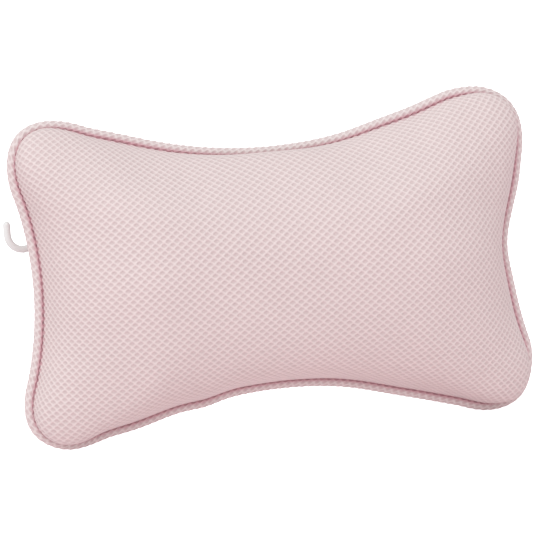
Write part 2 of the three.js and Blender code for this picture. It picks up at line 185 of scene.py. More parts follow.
class Fittings(PropertyGroup):
    """The cups, patches, strap and hook."""

    lip_radius: length("Lip radius", "Of a cup at the wall", 25 * MM)
    lip_width: length("Lip width", "Of the flat rim that seals on the wall", 2.4 * MM)
    lip_thickness: length("Lip thickness", "At the edge of a cup", 1.4 * MM)
    hollow_depth: length("Hollow depth", "Of a cup's hollow face", 7 * MM)
    hollow_fullness: number("Hollow fullness", "Power of the hollow's curve", 2.4)
    skirt_flare: number("Skirt flare", "Power of the skirt's curve", 0.8)
    shoulder_radius: length("Shoulder radius", "Of a cup's shoulder on its patch", 9 * MM)
    shoulder_thickness: length("Shoulder thickness", "Of a cup's shoulder", 2 * MM)
    neck_radius: length("Neck radius", "Of a cup's neck in its hole", 4.2 * MM)
    button_radius: length("Button radius", "Of the head inside the panel", 7.5 * MM)
    button_thickness: length("Button thickness", "Of the head inside the panel", 5 * MM)
    cup_height: length("Cup height", "From the rim to the shoulder's face", 15 * MM)
    patch_radius: length("Patch radius", "Of a round cloth patch", (PATCH_HIGH.x - PATCH_LOW.x) / 2)
    patch_hole: length("Patch hole", "Radius of the hole for a cup's neck", 4.6 * MM)
    patch_stitches: count("Patch stitches", "Stitches round a patch", 44)
    tape_width: length("Tape width", "Of the strap", 8 * MM)
    tape_thickness: length("Tape thickness", "Of the strap", 1 * MM)
    tape_ribs: count("Tape ribs", "Ribs across the strap", 9)
    bar_radius: length("Bar radius", "Of the hook's bar in the strap's fold", 1.5 * MM)
    seat_gap: length("Seat gap", "Between the strap and what it lies on", 0.3 * MM)
    thread_radius: length("Thread radius", "Of the sewing thread", 0.18 * MM)
    vinyl: colour("Vinyl", "Clear soft vinyl", 247, 250, 250)
    patch_cloth: colour("Patch cloth", "Woven patches", 232, 204, 206)
    tape: colour("Tape", "Woven strap", 240, 222, 223)
    thread: colour("Thread", "Sewing thread", 236, 206, 210)
    cord: colour("Cord", "Yarn of the piping's core", 241, 238, 233)
    fibre: colour("Fibre", "Stuffing", 246, 245, 242)
    hook_plastic: colour("Hook plastic", "Moulded hook", 233, 230, 228)


class Studio(PropertyGroup):
    """The photographer's table, lights and camera."""

    azimuth: turn("Azimuth", "Of the camera from straight in front, to the pillow's left", 18)
    elevation: turn("Elevation", "Of the camera over the pillow's middle", 4.64)
    roll: turn("Roll", "Of the camera about its line of sight", -3.96)
    distance: length("Distance", "From the camera to the pillow's middle", 3.0)
    lens: number("Lens", "Focal length in millimetres", 335.0)
    aim_right: length("Aim right", "Of the pillow's middle from the middle of the picture", 3.19 * MM)
    aim_up: length("Aim up", "Of the pillow's middle from the middle of the picture", 1.55 * MM)
    surround: number("Surround", "Strength of the white surround", 0.66)
    window: number("Window", "Strength of the broad light from the upper left", 1.35)
    window_width: turn("Window width", "Angle over which the broad light spreads", 60)
    key_power: number("Key power", "Of the softbox at the upper left, in watts", 6)
    floor: colour("Floor", "Table top as the camera sees it", 252, 252, 252)
    daylight: colour("Daylight", "Tint of the lights at the upper left", 241, 255, 255)
    indoor: colour("Indoor light", "Tint of the surround", 249, 250, 251)
    floor_bounce: colour("Floor bounce", "Light that the table top throws back on the pillow", 247, 232, 236)
    floor_light: number("Floor light", "Light added to what the table top throws back", 0.12)
    floor_glow: number("Floor glow", "Light added to the table top as the camera sees it", 0.75)


class BathPillow(PropertyGroup):
    """All the settings of the add-on."""

    shape: PointerProperty(type=PillowShape)
    mesh: PointerProperty(type=AirMesh)
    fittings: PointerProperty(type=Fittings)
    studio: PointerProperty(type=Studio)


# Meshes and pieces


def new_piece(name, vertices, faces, material):
    """A linked, smooth-shaded mesh object with one material."""
    mesh = bpy.data.meshes.new(name)
    mesh.from_pydata([tuple(v) for v in vertices], [], [tuple(f) for f in faces])
    mesh.validate()
    mesh.polygons.foreach_set("use_smooth", [True] * len(mesh.polygons))
    mesh.materials.append(material)
    piece = bpy.data.objects.new(name, mesh)
    bpy.context.scene.collection.objects.link(piece)
    return piece


def set_values(mesh, name, values):
    """A number at each vertex, for the materials."""
    attribute = mesh.attributes.new(name, "FLOAT", "POINT")
    attribute.data.foreach_set("value", np.asarray(values, np.float32).ravel())


def bevelled(piece, width, segments, degrees):
    """Gives the piece a modifier that rounds the edges which turn by more than an angle."""
    bevel = piece.modifiers.new("Bevel", "BEVEL")
    bevel.width = width
    bevel.segments = segments
    bevel.limit_method = "ANGLE"
    bevel.angle_limit = math.radians(degrees)


def applied(piece):
    """Turns the piece's modifiers into mesh."""
    graph = bpy.context.evaluated_depsgraph_get()
    mesh = bpy.data.meshes.new_from_object(piece.evaluated_get(graph))
    piece.modifiers.clear()
    piece.data = mesh


def fitted(piece, body, slot, *nodes):
    """Lets the piece ride a body, in the place of CAD nodes."""
    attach(piece, body)
    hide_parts(*nodes)


def smoothstep(low, high, values):
    """0 below low, 1 above high and a smooth rise between."""
    part = np.clip((np.asarray(values, float) - low) / (high - low), 0, 1)
    return part * part * (3 - 2 * part)


def unit(vectors):
    """The vectors scaled to length 1."""
    return vectors / np.maximum(np.linalg.norm(vectors, axis=-1, keepdims=True), 1e-12)


def ring_faces(rings, sides, closed):
    """Quads between rings of corners in a row; closed joins the last to the first."""
    faces = []
    for i in range(rings if closed else rings - 1):
        low = i * sides
        high = (i + 1) % rings * sides
        for j in range(sides):
            after = (j + 1) % sides
            faces.append((low + j, low + after, high + after, high + j))
    return faces


def rod_faces(rings, sides):
    """Faces round a row of rings of corners, with flat ends."""
    last = (rings - 1) * sides
    ends = [tuple(range(sides))[::-1], tuple(range(last, last + sides))]
    return ring_faces(rings, sides, False) + ends


def rod(path, radius, sides, upright):
    """Corners and faces of a round rod along open points, with flat ends."""
    path = np.asarray(path, float)
    along = unit(np.gradient(path, axis=0))
    across = unit(np.cross(along, upright))
    over = np.cross(across, along)
    angles = np.linspace(0, 2 * math.pi, sides, endpoint=False)
    cosines, sines = np.cos(angles)[:, None], np.sin(angles)[:, None]
    offsets = cosines * across[:, None] + sines * over[:, None]
    corners = (path[:, None] + radius * offsets).reshape(-1, 3)
    return corners, rod_faces(len(path), sides)


def joined(parts):
    """Corners and faces of several parts as one."""
    corners = []
    faces = []
    start = 0
    for part_corners, part_faces in parts:
        corners.append(part_corners)
        faces.extend(tuple(i + start for i in face) for face in part_faces)
        start += len(part_corners)
    return np.concatenate(corners), faces


def node_tree(node):
    """A CAD node's faces, for finding its surface."""
    mesh = frame["nodes"][node].data
    return BVHTree.FromPolygons([v.co for v in mesh.vertices], [p.vertices for p in mesh.polygons])


def face_height(tree, x, z, side):
    """y of a CAD face at a place seen along Y, from the front (-1) or the back (+1), or None beside it."""
    hit = tree.ray_cast(Vector((x, SEAM_Y + side, z)), Vector((0, -side, 0)))[0]
    return None if hit is None else hit.y


# The sewn form


def arc(middle, radius, normals):
    """Rows of points on an arc with its outward normals; the radius of a hollow arc is negative."""
    normals = np.stack(normals, axis=1)
    return np.concatenate([np.array(middle) + radius * normals, normals], axis=1)


class SeamLine:
    """The piping's middle line: a bone outline of arcs, by length along it from the right end's middle."""

    arc_steps = 60

    def __init__(self, shape):
        radius = shape.lobe_radius
        lobe_x = shape.width / 2 - shape.piping_radius - radius
        lobe_z = shape.height / 2 - shape.piping_radius - radius
        top_rise = radius - shape.top_waist
        end_rise = radius - shape.end_waist
        top_radius = (lobe_x**2 + top_rise**2 - radius**2) / (2 * (radius - top_rise))
        end_radius = (lobe_z**2 + end_rise**2 - radius**2) / (2 * (radius - end_rise))
        top_sweep = math.asin(lobe_x / (top_radius + radius))
        end_sweep = math.asin(lobe_z / (end_radius + radius))

        steps = np.linspace(0, 1, self.arc_steps, endpoint=False)
        angle = end_sweep * steps
        end_x = lobe_x + end_rise + end_radius
        end_arc = arc((end_x, 0), -end_radius, (np.cos(angle), -np.sin(angle)))
        angle = -end_sweep + (end_sweep + math.pi / 2 + top_sweep) * steps
        lobe_arc = arc((lobe_x, lobe_z), radius, (np.cos(angle), np.sin(angle)))
        angle = top_sweep * (1 - steps)
        top_z = lobe_z + top_rise + top_radius
        top_arc = arc((0, top_z), -top_radius, (-np.sin(angle), np.cos(angle)))
        top_middle = np.array([[0, top_z - top_radius, 0, 1]])

        quarter = np.concatenate([end_arc, lobe_arc, top_arc])
        upper = np.concatenate([quarter, top_middle, quarter[:0:-1] * (-1, 1, -1, 1)])
        left_middle = quarter[:1] * (-1, 1, -1, 1)
        lower = upper[:0:-1] * (1, -1, 1, -1)
        self.rows = np.concatenate([upper, left_middle, lower, quarter[:1]])
        gaps = np.linalg.norm(np.diff(self.rows[:, :2], axis=0), axis=1)
        self.stations = np.concatenate([[0], np.cumsum(gaps)])
        self.length = self.stations[-1]
        # Length at which the upper right lobe faces 45 degrees
        facing = np.abs(quarter[:, 2] - quarter[:, 3])
        self.corner = self.stations[int(np.argmin(facing))]

    def drawn(self, lengths):
        """Points in XZ on the drawn arcs, and outward normals."""
        wrapped = np.mod(lengths, self.length)
        rows = np.stack([np.interp(wrapped, self.stations, column) for column in self.rows.T], axis=1)
        return rows[:, :2], unit(rows[:, 2:])

    def shift(self, points):
        """How far the sewn line lies outside the drawn arcs at their points."""
        total = np.zeros(len(points))
        for x, z, reach, outwards in SETTLED:
            away = np.linalg.norm(points / MM - (x, z), axis=1)
            total += outwards * MM * np.exp(-((away / reach) ** 2))
        return total

    def at(self, lengths):
        """Points in XZ on the sewn line, and outward normals."""
        points, normals = self.drawn(lengths)
        return points + normals * self.shift(points)[:, None], normals

    def inset(self, lengths, depth):
        """Points in XZ that far inside the sewn line."""
        points, normals = self.at(lengths)
        return points - normals * depth


def grid_quads(index):
    """Quads of a grid of corner numbers."""
    around = [index[:-1, :-1], index[:-1, 1:], index[1:, 1:], index[1:, :-1]]
    return np.stack(around, axis=-1).reshape(-1, 4)


def grid_loop(index):
    """Corner numbers round the edge of a grid, counter-clockwise from the lower left."""
    return np.concatenate([index[0, :-1], index[:-1, -1], index[-1, :0:-1], index[:0:-1, 0]])


class PillowGrid:
    """Grids of the front and back panels that share the corners of the seam."""

    relax_rounds = 60
    edge_stations = 1600
    # Along the seam, how far the swell of a lobe reaches
    lobe_reach = 32 * MM
    # Inwards from the seam, where the swell is full, starts to fade and has faded
    swell_full = 8 * MM
    swell_fading = 9 * MM
    swell_faded = 40 * MM
    # Inwards from the seam, where the settling of the sewn line starts to fade and has faded
    settling_fading = 2 * MM
    settling_faded = 24 * MM
    # How far the taper of the ends and the ease beside the top seam reach
    taper_reach = 90 * MM
    ease_reach = 45 * MM

    def __init__(self, shape):
        line = SeamLine(shape)
        half = line.length / 2
        up = np.linspace(0, 1, shape.rows + 1)
        across = np.linspace(0, 1, shape.columns + 1)
        self.shape = shape
        self.line = line
        self.right = -line.corner + 2 * line.corner * up
        self.left = half + line.corner - 2 * line.corner * up
        self.top = half - line.corner + (2 * line.corner - half) * across
        self.bottom = half + line.corner + (half - 2 * line.corner) * across
        rows, columns = shape.rows + 1, shape.columns + 1
        self.front = np.arange(rows * columns).reshape(rows, columns)
        self.back = self.front.copy()
        inner = rows - 2, columns - 2
        self.back[1:-1, 1:-1] = rows * columns + np.arange(inner[0] * inner[1]).reshape(inner)
        self.size = int(self.back.max()) + 1
        # Loop of the seam's corners, and its lengths along the line
        self.loop = grid_loop(self.front)
        lengths = [self.bottom[:-1], self.right[:-1], self.top[:0:-1], self.left[:0:-1]]
        self.loop_lengths = np.concatenate(lengths)

    def plan(self, inset):
        """The flat grid in XZ: a patch between the four stretches of the drawn outline, relaxed."""
        bottom, top, left, right = (
            points - normals * inset
            for points, normals in map(self.line.drawn, (self.bottom, self.top, self.left, self.right))
        )
        u = np.linspace(0, 1, len(self.bottom))[None, :, None]
        v = np.linspace(0, 1, len(self.left))[:, None, None]
        ruled = (1 - v) * bottom[None] + v * top[None] + (1 - u) * left[:, None] + u * right[:, None]
        low = (1 - u) * bottom[0] + u * bottom[-1]
        high = (1 - u) * top[0] + u * top[-1]
        grid = ruled - (1 - v) * low - v * high
        for _ in range(self.relax_rounds):
            grid[1:-1, 1:-1] = (grid[:-2, 1:-1] + grid[2:, 1:-1] + grid[1:-1, :-2] + grid[1:-1, 2:]) / 4
        return grid

    def swollen(self, plan, heights, strength, end_taper, top_ease):
        """The grid on the sewn line, with its walls standing out past the seam, most round the lobes.

        strength scales how far they stand out. end_taper and top_ease are the parts by which the two ends,
        and the cloth beside the top seam, stand lower than the heights say."""
        shape = self.shape
        half_length = self.line.length / 2
        stations = np.linspace(0, self.line.length, self.edge_stations, endpoint=False)
        points, normals = self.line.drawn(stations)
        flat = plan.reshape(-1, 2)
        nearest = np.array([int(np.argmin(((points - place) ** 2).sum(axis=1))) for place in flat])
        depth = np.linalg.norm(flat - points[nearest], axis=1)
        from_end = np.abs(np.mod(stations[nearest] + half_length / 2, half_length) - half_length / 2)
        lobe = np.exp(-(((from_end - self.line.corner) / self.lobe_reach) ** 2))
        end = normals[nearest, 0] ** 2
        beside = end * shape.end_swell + (1 - end) * shape.waist_swell
        facing_up = np.clip(normals[nearest, 1], 0, 1) ** 2
        top = np.exp(-(((flat[:, 0] - shape.top_swell_place) / shape.top_swell_reach) ** 2)) * facing_up
        reach = lobe * shape.lobe_swell + (1 - lobe) * (beside + top * shape.top_swell)
        reach = reach * smoothstep(shape.seam_inset, self.swell_full, depth)
        reach = reach * (1 - smoothstep(self.swell_fading, self.swell_faded, depth))
        settled = self.line.shift(points[nearest])
        settled = settled * (1 - smoothstep(self.settling_fading, self.settling_faded, depth))
        moved = flat + normals[nearest] * (reach * strength + settled)[:, None]
        near_end = 1 - smoothstep(0, self.taper_reach, shape.width / 2 - np.abs(flat[:, 0]))
        eased = 1 - top_ease * facing_up * (1 - smoothstep(0, self.ease_reach, depth))
        raised = SEAM_Y + (heights.ravel() - SEAM_Y) * (1 - end_taper * near_end) * eased
        return np.stack([moved[:, 0], raised, moved[:, 1]], axis=1).reshape(*heights.shape, 3)

    def quads(self, side):
        """Faces of one panel's grid, facing outwards."""
        return grid_quads(self.front) if side < 0 else grid_quads(self.back)[:, ::-1]


def grid_smoothed(grid, rounds, strength):
    """The inner corners of a grid drawn towards their neighbours."""
    grid = grid.copy()
    for _ in range(rounds):
        middle = (grid[:-2, 1:-1] + grid[2:, 1:-1] + grid[1:-1, :-2] + grid[1:-1, 2:]) / 4
        grid[1:-1, 1:-1] += strength * (middle - grid[1:-1, 1:-1])
    return grid


def inflated(form, seam, shape):
    """Corners of the closed form once its cloth has taken up the stuffing's pressure, with the seam held."""
    frames = 20
    held = form.vertex_groups.new(name="seam")
    held.add([int(i) for i in seam], 1.0, "REPLACE")
    cloth = form.modifiers.new("Cloth", "CLOTH")
    settings = cloth.settings
    settings.quality = 6
    settings.mass = 0.2
    settings.tension_stiffness = 25
    settings.compression_stiffness = 25
    settings.shear_stiffness = 10
    settings.bending_stiffness = 0.5
    settings.vertex_group_mass = held.name
    settings.use_pressure = True
    settings.uniform_pressure_force = shape.pressure
    settings.effector_weights.gravity = 0
    cloth.point_cache.frame_start = 1
    cloth.point_cache.frame_end = frames
    scene = bpy.context.scene
    for moment in range(1, frames + 1):
        scene.frame_set(moment)
    graph = bpy.context.evaluated_depsgraph_get()
    corners = np.array([v.co for v in form.evaluated_get(graph).data.vertices])
    form.modifiers.remove(cloth)
    form.vertex_groups.remove(held)
    scene.frame_set(1)
    return corners


def cup_places():
    """Place of each cup's axis in XZ, by corner."""
    return {corner: np.array(JOINTS[f"cup_turn_{corner}"]["pos_m"])[[0, 2]] for corner in CORNERS}


def seated(grid, shape):
    """The back panel's grid pressed flat under the cups."""
    grid = grid.copy()
    net_room = 0.55 * MM
    seat_y = PATCH_LOW.y - net_room
    for place in cup_places().values():
        away = np.linalg.norm(grid[..., [0, 2]] - place, axis=-1)
        hold = 1 - smoothstep(shape.pad_radius, shape.pad_blend, away)
        grid[..., 1] += hold * (seat_y - grid[..., 1])
    return grid


class PILLOW_OT_stuffing(Operator):
    """Inflate the sewn form and fill it with fibre"""

    bl_idname = "pillow.stuffing"
    bl_label = "Stuffing"

    def execute(self, context):
        settings = context.scene.bath_pillow
        shape = settings.shape
        grid = PillowGrid(shape)
        start = self.begun(grid)
        faces = np.concatenate([grid.quads(-1), grid.quads(1)])
        fibre = moulded_material("stuffing_fibre", settings.fittings.fibre, 0.85, 0.5 * MM)
        form = new_piece("fibre_stuffing", start, faces, fibre)
        skin = inflated(form, grid.loop, shape)
        moved = skin - start
        distance = np.linalg.norm(moved, axis=1, keepdims=True)
        skin = start + moved * np.minimum(1, shape.swell_limit / np.maximum(distance, 1e-9))
        front = self.raised(skin[grid.front])
        back = self.held_back(skin[grid.back], shape)
        skin[grid.front] = front
        skin[grid.back] = back

        # The cloth's own surface is kept for the panels, and the fibre stands a little inside it
        wadding_gap = 3.5 * MM
        form.data.vertices.foreach_set("co", skin.ravel())
        form.data.update()
        kept = form.data.attributes.new("skin", "FLOAT_VECTOR", "POINT")
        kept.data.foreach_set("vector", skin.astype(np.float32).ravel())
        normals = np.array([v.normal for v in form.data.vertices])
        form.data.vertices.foreach_set("co", (skin - normals * wadding_gap).ravel())
        form.data.update()
        fitted(form, "pillow", "fibre", "fibre_fill")
        return {"FINISHED"}

    def begun(self, grid):
        """Corners of the form before the pressure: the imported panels, lowered and swollen past the seam."""
        shape = grid.shape
        plan = grid.plan(shape.seam_inset)
        start = np.zeros((grid.size, 3))
        # Side, corner numbers, node, part of its height, strength of the swell, end taper and top ease
        sides = (
            (-1, grid.front, "front_panel", shape.start_share, 1.0, shape.end_taper, shape.top_ease),
            (1, grid.back, "back_panel", 1.0, 0.6, 0, 0),
        )
        for side, index, node, start_share, strength, end_taper, top_ease in sides:
            tree = node_tree(node)
            heights = np.full(index.shape, SEAM_Y)
            for j in range(1, index.shape[0] - 1):
                for i in range(1, index.shape[1] - 1):
                    found = face_height(tree, plan[j, i, 0], plan[j, i, 1], side)
                    heights[j, i] = SEAM_Y if found is None else found
            lowered = SEAM_Y + (heights - SEAM_Y) * start_share
            swollen = grid.swollen(plan, lowered, strength, end_taper, top_ease)
            start[index] = grid_smoothed(swollen, 3, 0.5)
        return start

    def raised(self, front):
        """The front panel's grid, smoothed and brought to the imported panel's full height."""
        front = grid_smoothed(front, 2, 0.5)
        rise = (FRONT_LOW.y - SEAM_Y) / (front[..., 1].min() - SEAM_Y)
        front[..., 1] = SEAM_Y + (front[..., 1] - SEAM_Y) * rise
        return front

    def held_back(self, back, shape):
        """The back panel's grid, smoothed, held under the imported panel's face and seated under the cups."""
        tree = node_tree("back_panel")
        net_room = 0.3 * MM
        back = grid_smoothed(back, 2, 0.5)
        for j in range(1, back.shape[0] - 1):
            for i in range(1, back.shape[1] - 1):
                limit = face_height(tree, back[j, i, 0], back[j, i, 2], 1)
                if limit is not None:
                    back[j, i, 1] = min(back[j, i, 1], limit - net_room)
        return seated(grid_smoothed(back, 2, 0.5), shape)


# The knitted net


# Corners of one lozenge cell, as quarters of its width and height from its middle
CELL_RING = np.array([(2, 0), (1, 1), (0, 2), (-1, 1), (-2, 0), (-1, -1), (0, -2), (1, -1)])
# How many corners a cell has round its outside, as many again round its hole's brim, on its floor, and in all
RING = len(CELL_RING)
FLOOR = 4
CELL_CORNERS = 2 * RING + FLOOR


def hole_ring():
    """Unit ring of a hole with rounded ends."""
    diagonal = 0.62
    ring = np.sign(CELL_RING).astype(float)
    ring[1::2] *= diagonal
    return ring


def cell_faces():
    """Faces of one cell, by its corners: first round the outside, then round the brim, then on the floor."""
    brim, floor = RING, 2 * RING
    faces = [(i, (i + 1) % RING, brim + (i + 1) % RING, brim + i) for i in range(RING)]
    for k in range(FLOOR):
        first, middle, last = brim + 2 * k, brim + 2 * k + 1, brim + (2 * k + 2) % RING
        low, high = floor + k, floor + (k + 1) % FLOOR
        faces += [(first, middle, low), (middle, last, high), (middle, high, low)]
    return faces + [tuple(range(floor, CELL_CORNERS))]


def cell_middles(low, high):
    """Middles of the cells from low to high, in whole cells across and up, as whole quarters of a cell."""
    across, up = np.meshgrid(np.arange(low[0], high[0]), np.arange(low[1], high[1]))
    whole = np.stack([across, up], axis=-1).reshape(-1, 2)
    return np.concatenate([whole * 4, whole * 4 + 2])


def knitted(name, centres, wrap, place, cloth, relief, material, flip):
    """A net of lozenge cells on a surface.

    centres are whole numbers of quarter cells. wrap is the repeat in them of a closed tube, along it and
    round it, and how far one turn shifts the net along, or None for an open surface.
    place gives positions, normals and whether each flat point lies on the surface.
    cloth gives the cell's sizes, relief scales its heights and depths, and flip turns the faces over.
    Returns the piece and the flat points of its face corners."""
    quarter = np.array([cloth.cell_width, cloth.cell_height]) / 4
    brim = np.array([cloth.hole_width, cloth.hole_height]) / 2
    keys = centres[:, None] + CELL_RING
    middles = (centres * quarter)[:, None]
    floor = hole_ring()[::2] * brim * cloth.floor_share
    flat = np.concatenate([keys * quarter, middles + hole_ring() * brim, middles + floor], axis=1)
    positions, normals, found = place(flat.reshape(-1, 2))
    kept = found.reshape(-1, CELL_CORNERS).all(axis=1)
    keys = keys[kept]
    flat = flat[kept]
    positions = positions.reshape(-1, CELL_CORNERS, 3)[kept]
    normals = normals.reshape(-1, CELL_CORNERS, 3)[kept]
    knots = np.where(np.arange(RING) % 2 == 0, cloth.knot_rise, cloth.strand_rise)
    lifts = np.concatenate([knots, np.full(RING, -cloth.brim_drop), np.full(FLOOR, -cloth.hole_depth)])
    positions = positions + normals * (lifts * relief)[:, None]

    # Crossings and strands are shared by the cells around them
    shared = keys.reshape(-1, 2)
    if wrap is not None:
        along, around, shift = wrap
        turns = shared[:, 1] // around
        shared = np.stack([(shared[:, 0] + turns * shift) % along, shared[:, 1] % around], axis=1)
    unique, first, inverse = np.unique(shared, axis=0, return_index=True, return_inverse=True)
    cells = len(keys)
    ridge = inverse.reshape(cells, RING)
    inside = RING + FLOOR
    inner = len(unique) + np.arange(cells * inside).reshape(cells, inside)
    outer_places = positions[:, :RING].reshape(-1, 3)[first]
    vertices = np.concatenate([outer_places, positions[:, RING:].reshape(-1, 3)])
    # Tone from the bright crossings (0) over the strands and brims to the floors of the holes (1): a painted
    # highlight on the crossings and painted shade down into the holes, whose floors also show the greyer pile
    # under the net
    strand_tone, brim_tone = 0.22, 0.45
    outer_tones = np.where(first % 2 == 0, 0.0, strand_tone)
    depth = np.concatenate([outer_tones, np.tile(np.repeat([brim_tone, 1.0], [RING, FLOOR]), cells)])

    pattern = cell_faces()
    if flip:
        pattern = [face[::-1] for face in pattern]
    corner = np.concatenate([ridge, inner], axis=1).tolist()
    faces = [[row[i] for i in face] for row in corner for face in pattern]
    order = [i for face in pattern for i in face]
    piece = new_piece(name, vertices, faces, material)
    set_values(piece.data, "hole_depth", depth)
    return piece, flat[:, order].reshape(-1, 2)


def lay_out(piece, flat):
    """The cloth's flat pattern as the piece's map, inside the unit square."""
    border = 0.01
    low = flat.min(axis=0)
    size = (flat.max(axis=0) - low).max()
    laid = border + (1 - 2 * border) * (flat - low) / size
    layer = piece.data.uv_layers.new(name="OFBake")
    layer.data.foreach_set("uv", laid.astype(np.float32).ravel())


class PanelPattern:
    """One panel of the sewn form with its turned-in margin, and its cloth laid flat."""

    # Parts of the margin's width at its rings of corners, and how far it leaves the seam's plane
    margin_rings = (0.4, 1.0)
    margin_rise = 0.5 * MM

    def __init__(self, grid, skin, side, gather):
        shape = grid.shape
        index = grid.front if side < 0 else grid.back
        corners = skin[index].reshape(-1, 3)
        local = np.arange(index.size).reshape(index.shape)
        rings = [grid_loop(local)]
        parts = [corners]
        for step in self.margin_rings:
            turned = grid.line.inset(grid.loop_lengths, shape.seam_inset + shape.margin * step)
            depth = np.full(len(turned), SEAM_Y + side * self.margin_rise * step)
            rings.append(sum(len(part) for part in parts) + np.arange(len(turned)))
            parts.append(np.stack([turned[:, 0], depth, turned[:, 1]], axis=1))
        quads = [grid_quads(local)]
        for inner, outer in zip(rings[:-1], rings[1:]):
            quads.append(np.stack([np.roll(inner, -1), inner, outer, np.roll(outer, -1)], axis=1))
        quads = np.concatenate(quads)
        if side > 0:
            quads = quads[:, ::-1]

        mesh = bpy.data.meshes.new("panel_pattern")
        mesh.from_pydata(np.concatenate(parts).tolist(), [], quads.tolist())
        form = bpy.data.objects.new("panel_pattern", mesh)
        bpy.context.scene.collection.objects.link(form)
        mesh.uv_layers.new(name="flat")
        bpy.context.view_layer.objects.active = form
        form.select_set(True)
        bpy.ops.object.mode_set(mode="EDIT")
        bpy.ops.mesh.select_all(action="SELECT")
        bpy.ops.uv.unwrap(method="MINIMUM_STRETCH", iterations=20, margin=0)
        bpy.ops.object.mode_set(mode="OBJECT")
        smooth = form.modifiers.new("Smooth", "SUBSURF")
        smooth.levels = 1
        fine = bpy.data.meshes.new_from_object(form.evaluated_get(bpy.context.evaluated_depsgraph_get()))
        bpy.data.objects.remove(form)
        bpy.data.meshes.remove(mesh)
        self.read(fine, gather)
        bpy.data.meshes.remove(fine)

    def read(self, mesh, gather):
        """Keeps the fine surface and its flat pattern, turned to lie along X and Z, gathered to the lobes."""
        self.points = np.array([v.co for v in mesh.vertices])
        self.normals = np.array([v.normal for v in mesh.vertices])
        mesh.calc_loop_triangles()
        self.triangles = np.array([t.vertices for t in mesh.loop_triangles])
        flat = np.zeros((len(self.points), 2))
        uv = np.zeros(len(mesh.loops) * 2, np.float32)
        mesh.uv_layers[0].data.foreach_get("uv", uv)
        owner = np.zeros(len(mesh.loops), np.int32)
        mesh.loops.foreach_get("vertex_index", owner)
        flat[owner] = uv.reshape(-1, 2)

        plan = self.points[:, [0, 2]]
        # The corner near the pillow's middle, with height counted for more so that it lies on the crown
        height_weight = 10
        height = np.abs(self.points[:, 1] - SEAM_Y)
        middle = int(np.argmin(np.linalg.norm(plan, axis=1) - height_weight * height))
        flat -= flat.mean(axis=0)
        left, _, right = np.linalg.svd(flat.T @ plan)
        flat = flat @ (left @ right)
        sides = self.points[self.triangles[:, 1:]] - self.points[self.triangles[:, :1]]
        flat_sides = flat[self.triangles[:, 1:]] - flat[self.triangles[:, :1]]
        area = np.linalg.norm(np.cross(sides[:, 0], sides[:, 1]), axis=1).sum()
        flat_area = np.abs(cross2(flat_sides[:, 0], flat_sides[:, 1])).sum()
        flat *= math.sqrt(area / flat_area)
        flat -= flat[middle]
        reach = np.linalg.norm(flat, axis=1, keepdims=True)
        self.flat = flat * (1 + gather * (reach / reach.max()) ** 2)
        raised = [Vector((u, v, 0)) for u, v in self.flat]
        self.tree = BVHTree.FromPolygons(raised, self.triangles.tolist())

    def place(self, flat):
        """Positions and normals on the surface under flat points, and which of them lie on it."""
        hits = np.full(len(flat), -1)
        down = Vector((0, 0, -1))
        for i, (u, v) in enumerate(flat):
            found = self.tree.ray_cast(Vector((u, v, 1)), down)[2]
            if found is not None:
                hits[i] = found
        on = hits >= 0
        corners = self.triangles[hits]
        a, b, c = (self.flat[corners[:, k]] for k in range(3))
        whole = cross2(b - a, c - a)
        second = cross2(flat - a, c - a) / whole
        third = cross2(b - a, flat - a) / whole
        weights = np.stack([1 - second - third, second, third], axis=1)[..., None]
        positions = (self.points[corners] * weights).sum(axis=1)
        normals = unit((self.normals[corners] * weights).sum(axis=1))
        return positions, normals, on


def cross2(a, b):
    """Cross product of vectors in a plane."""
    return a[:, 0] * b[:, 1] - a[:, 1] * b[:, 0]


class PILLOW_OT_panels(Operator):
    """Knit the front and back panels over the stuffing"""

    bl_idname = "pillow.panels"
    bl_label = "Panels"

    def execute(self, context):
        settings = context.scene.bath_pillow
        grid = PillowGrid(settings.shape)
        form = bpy.data.objects["fibre_stuffing"].data
        skin = np.zeros(grid.size * 3, np.float32)
        form.attributes["skin"].data.foreach_get("vector", skin)
        skin = skin.reshape(-1, 3).astype(float)
        material = air_mesh_material("air_mesh", settings.mesh, settings.mesh.yarn)
        # Heights over the seam's plane between which the groove's painted shade runs out
        tint_full, tint_gone = 0.8 * MM, 3.4 * MM
        for side, name, node in ((-1, "front_cover", "front_panel"), (1, "back_cover", "back_panel")):
            pattern = PanelPattern(grid, skin, side, settings.mesh.gather)
            centres = self.centres(pattern, settings.mesh)
            piece, flat = knitted(name, centres, None, pattern.place, settings.mesh, 1, material, side > 0)
            lay_out(piece, flat)
            height = np.abs(np.array([v.co.y for v in piece.data.vertices]) - SEAM_Y)
            set_values(piece.data, "seam_nearness", 1 - smoothstep(tint_full, tint_gone, height))
            fitted(piece, "pillow", "air_mesh", node)
        return {"FINISHED"}

    def centres(self, pattern, cloth):
        """Middles of all cells over the flat pattern."""
        cell = np.array([cloth.cell_width, cloth.cell_height])
        low = np.floor(pattern.flat.min(axis=0) / cell).astype(int) - 1
        high = np.ceil(pattern.flat.max(axis=0) / cell).astype(int) + 1
        return cell_middles(low, high)


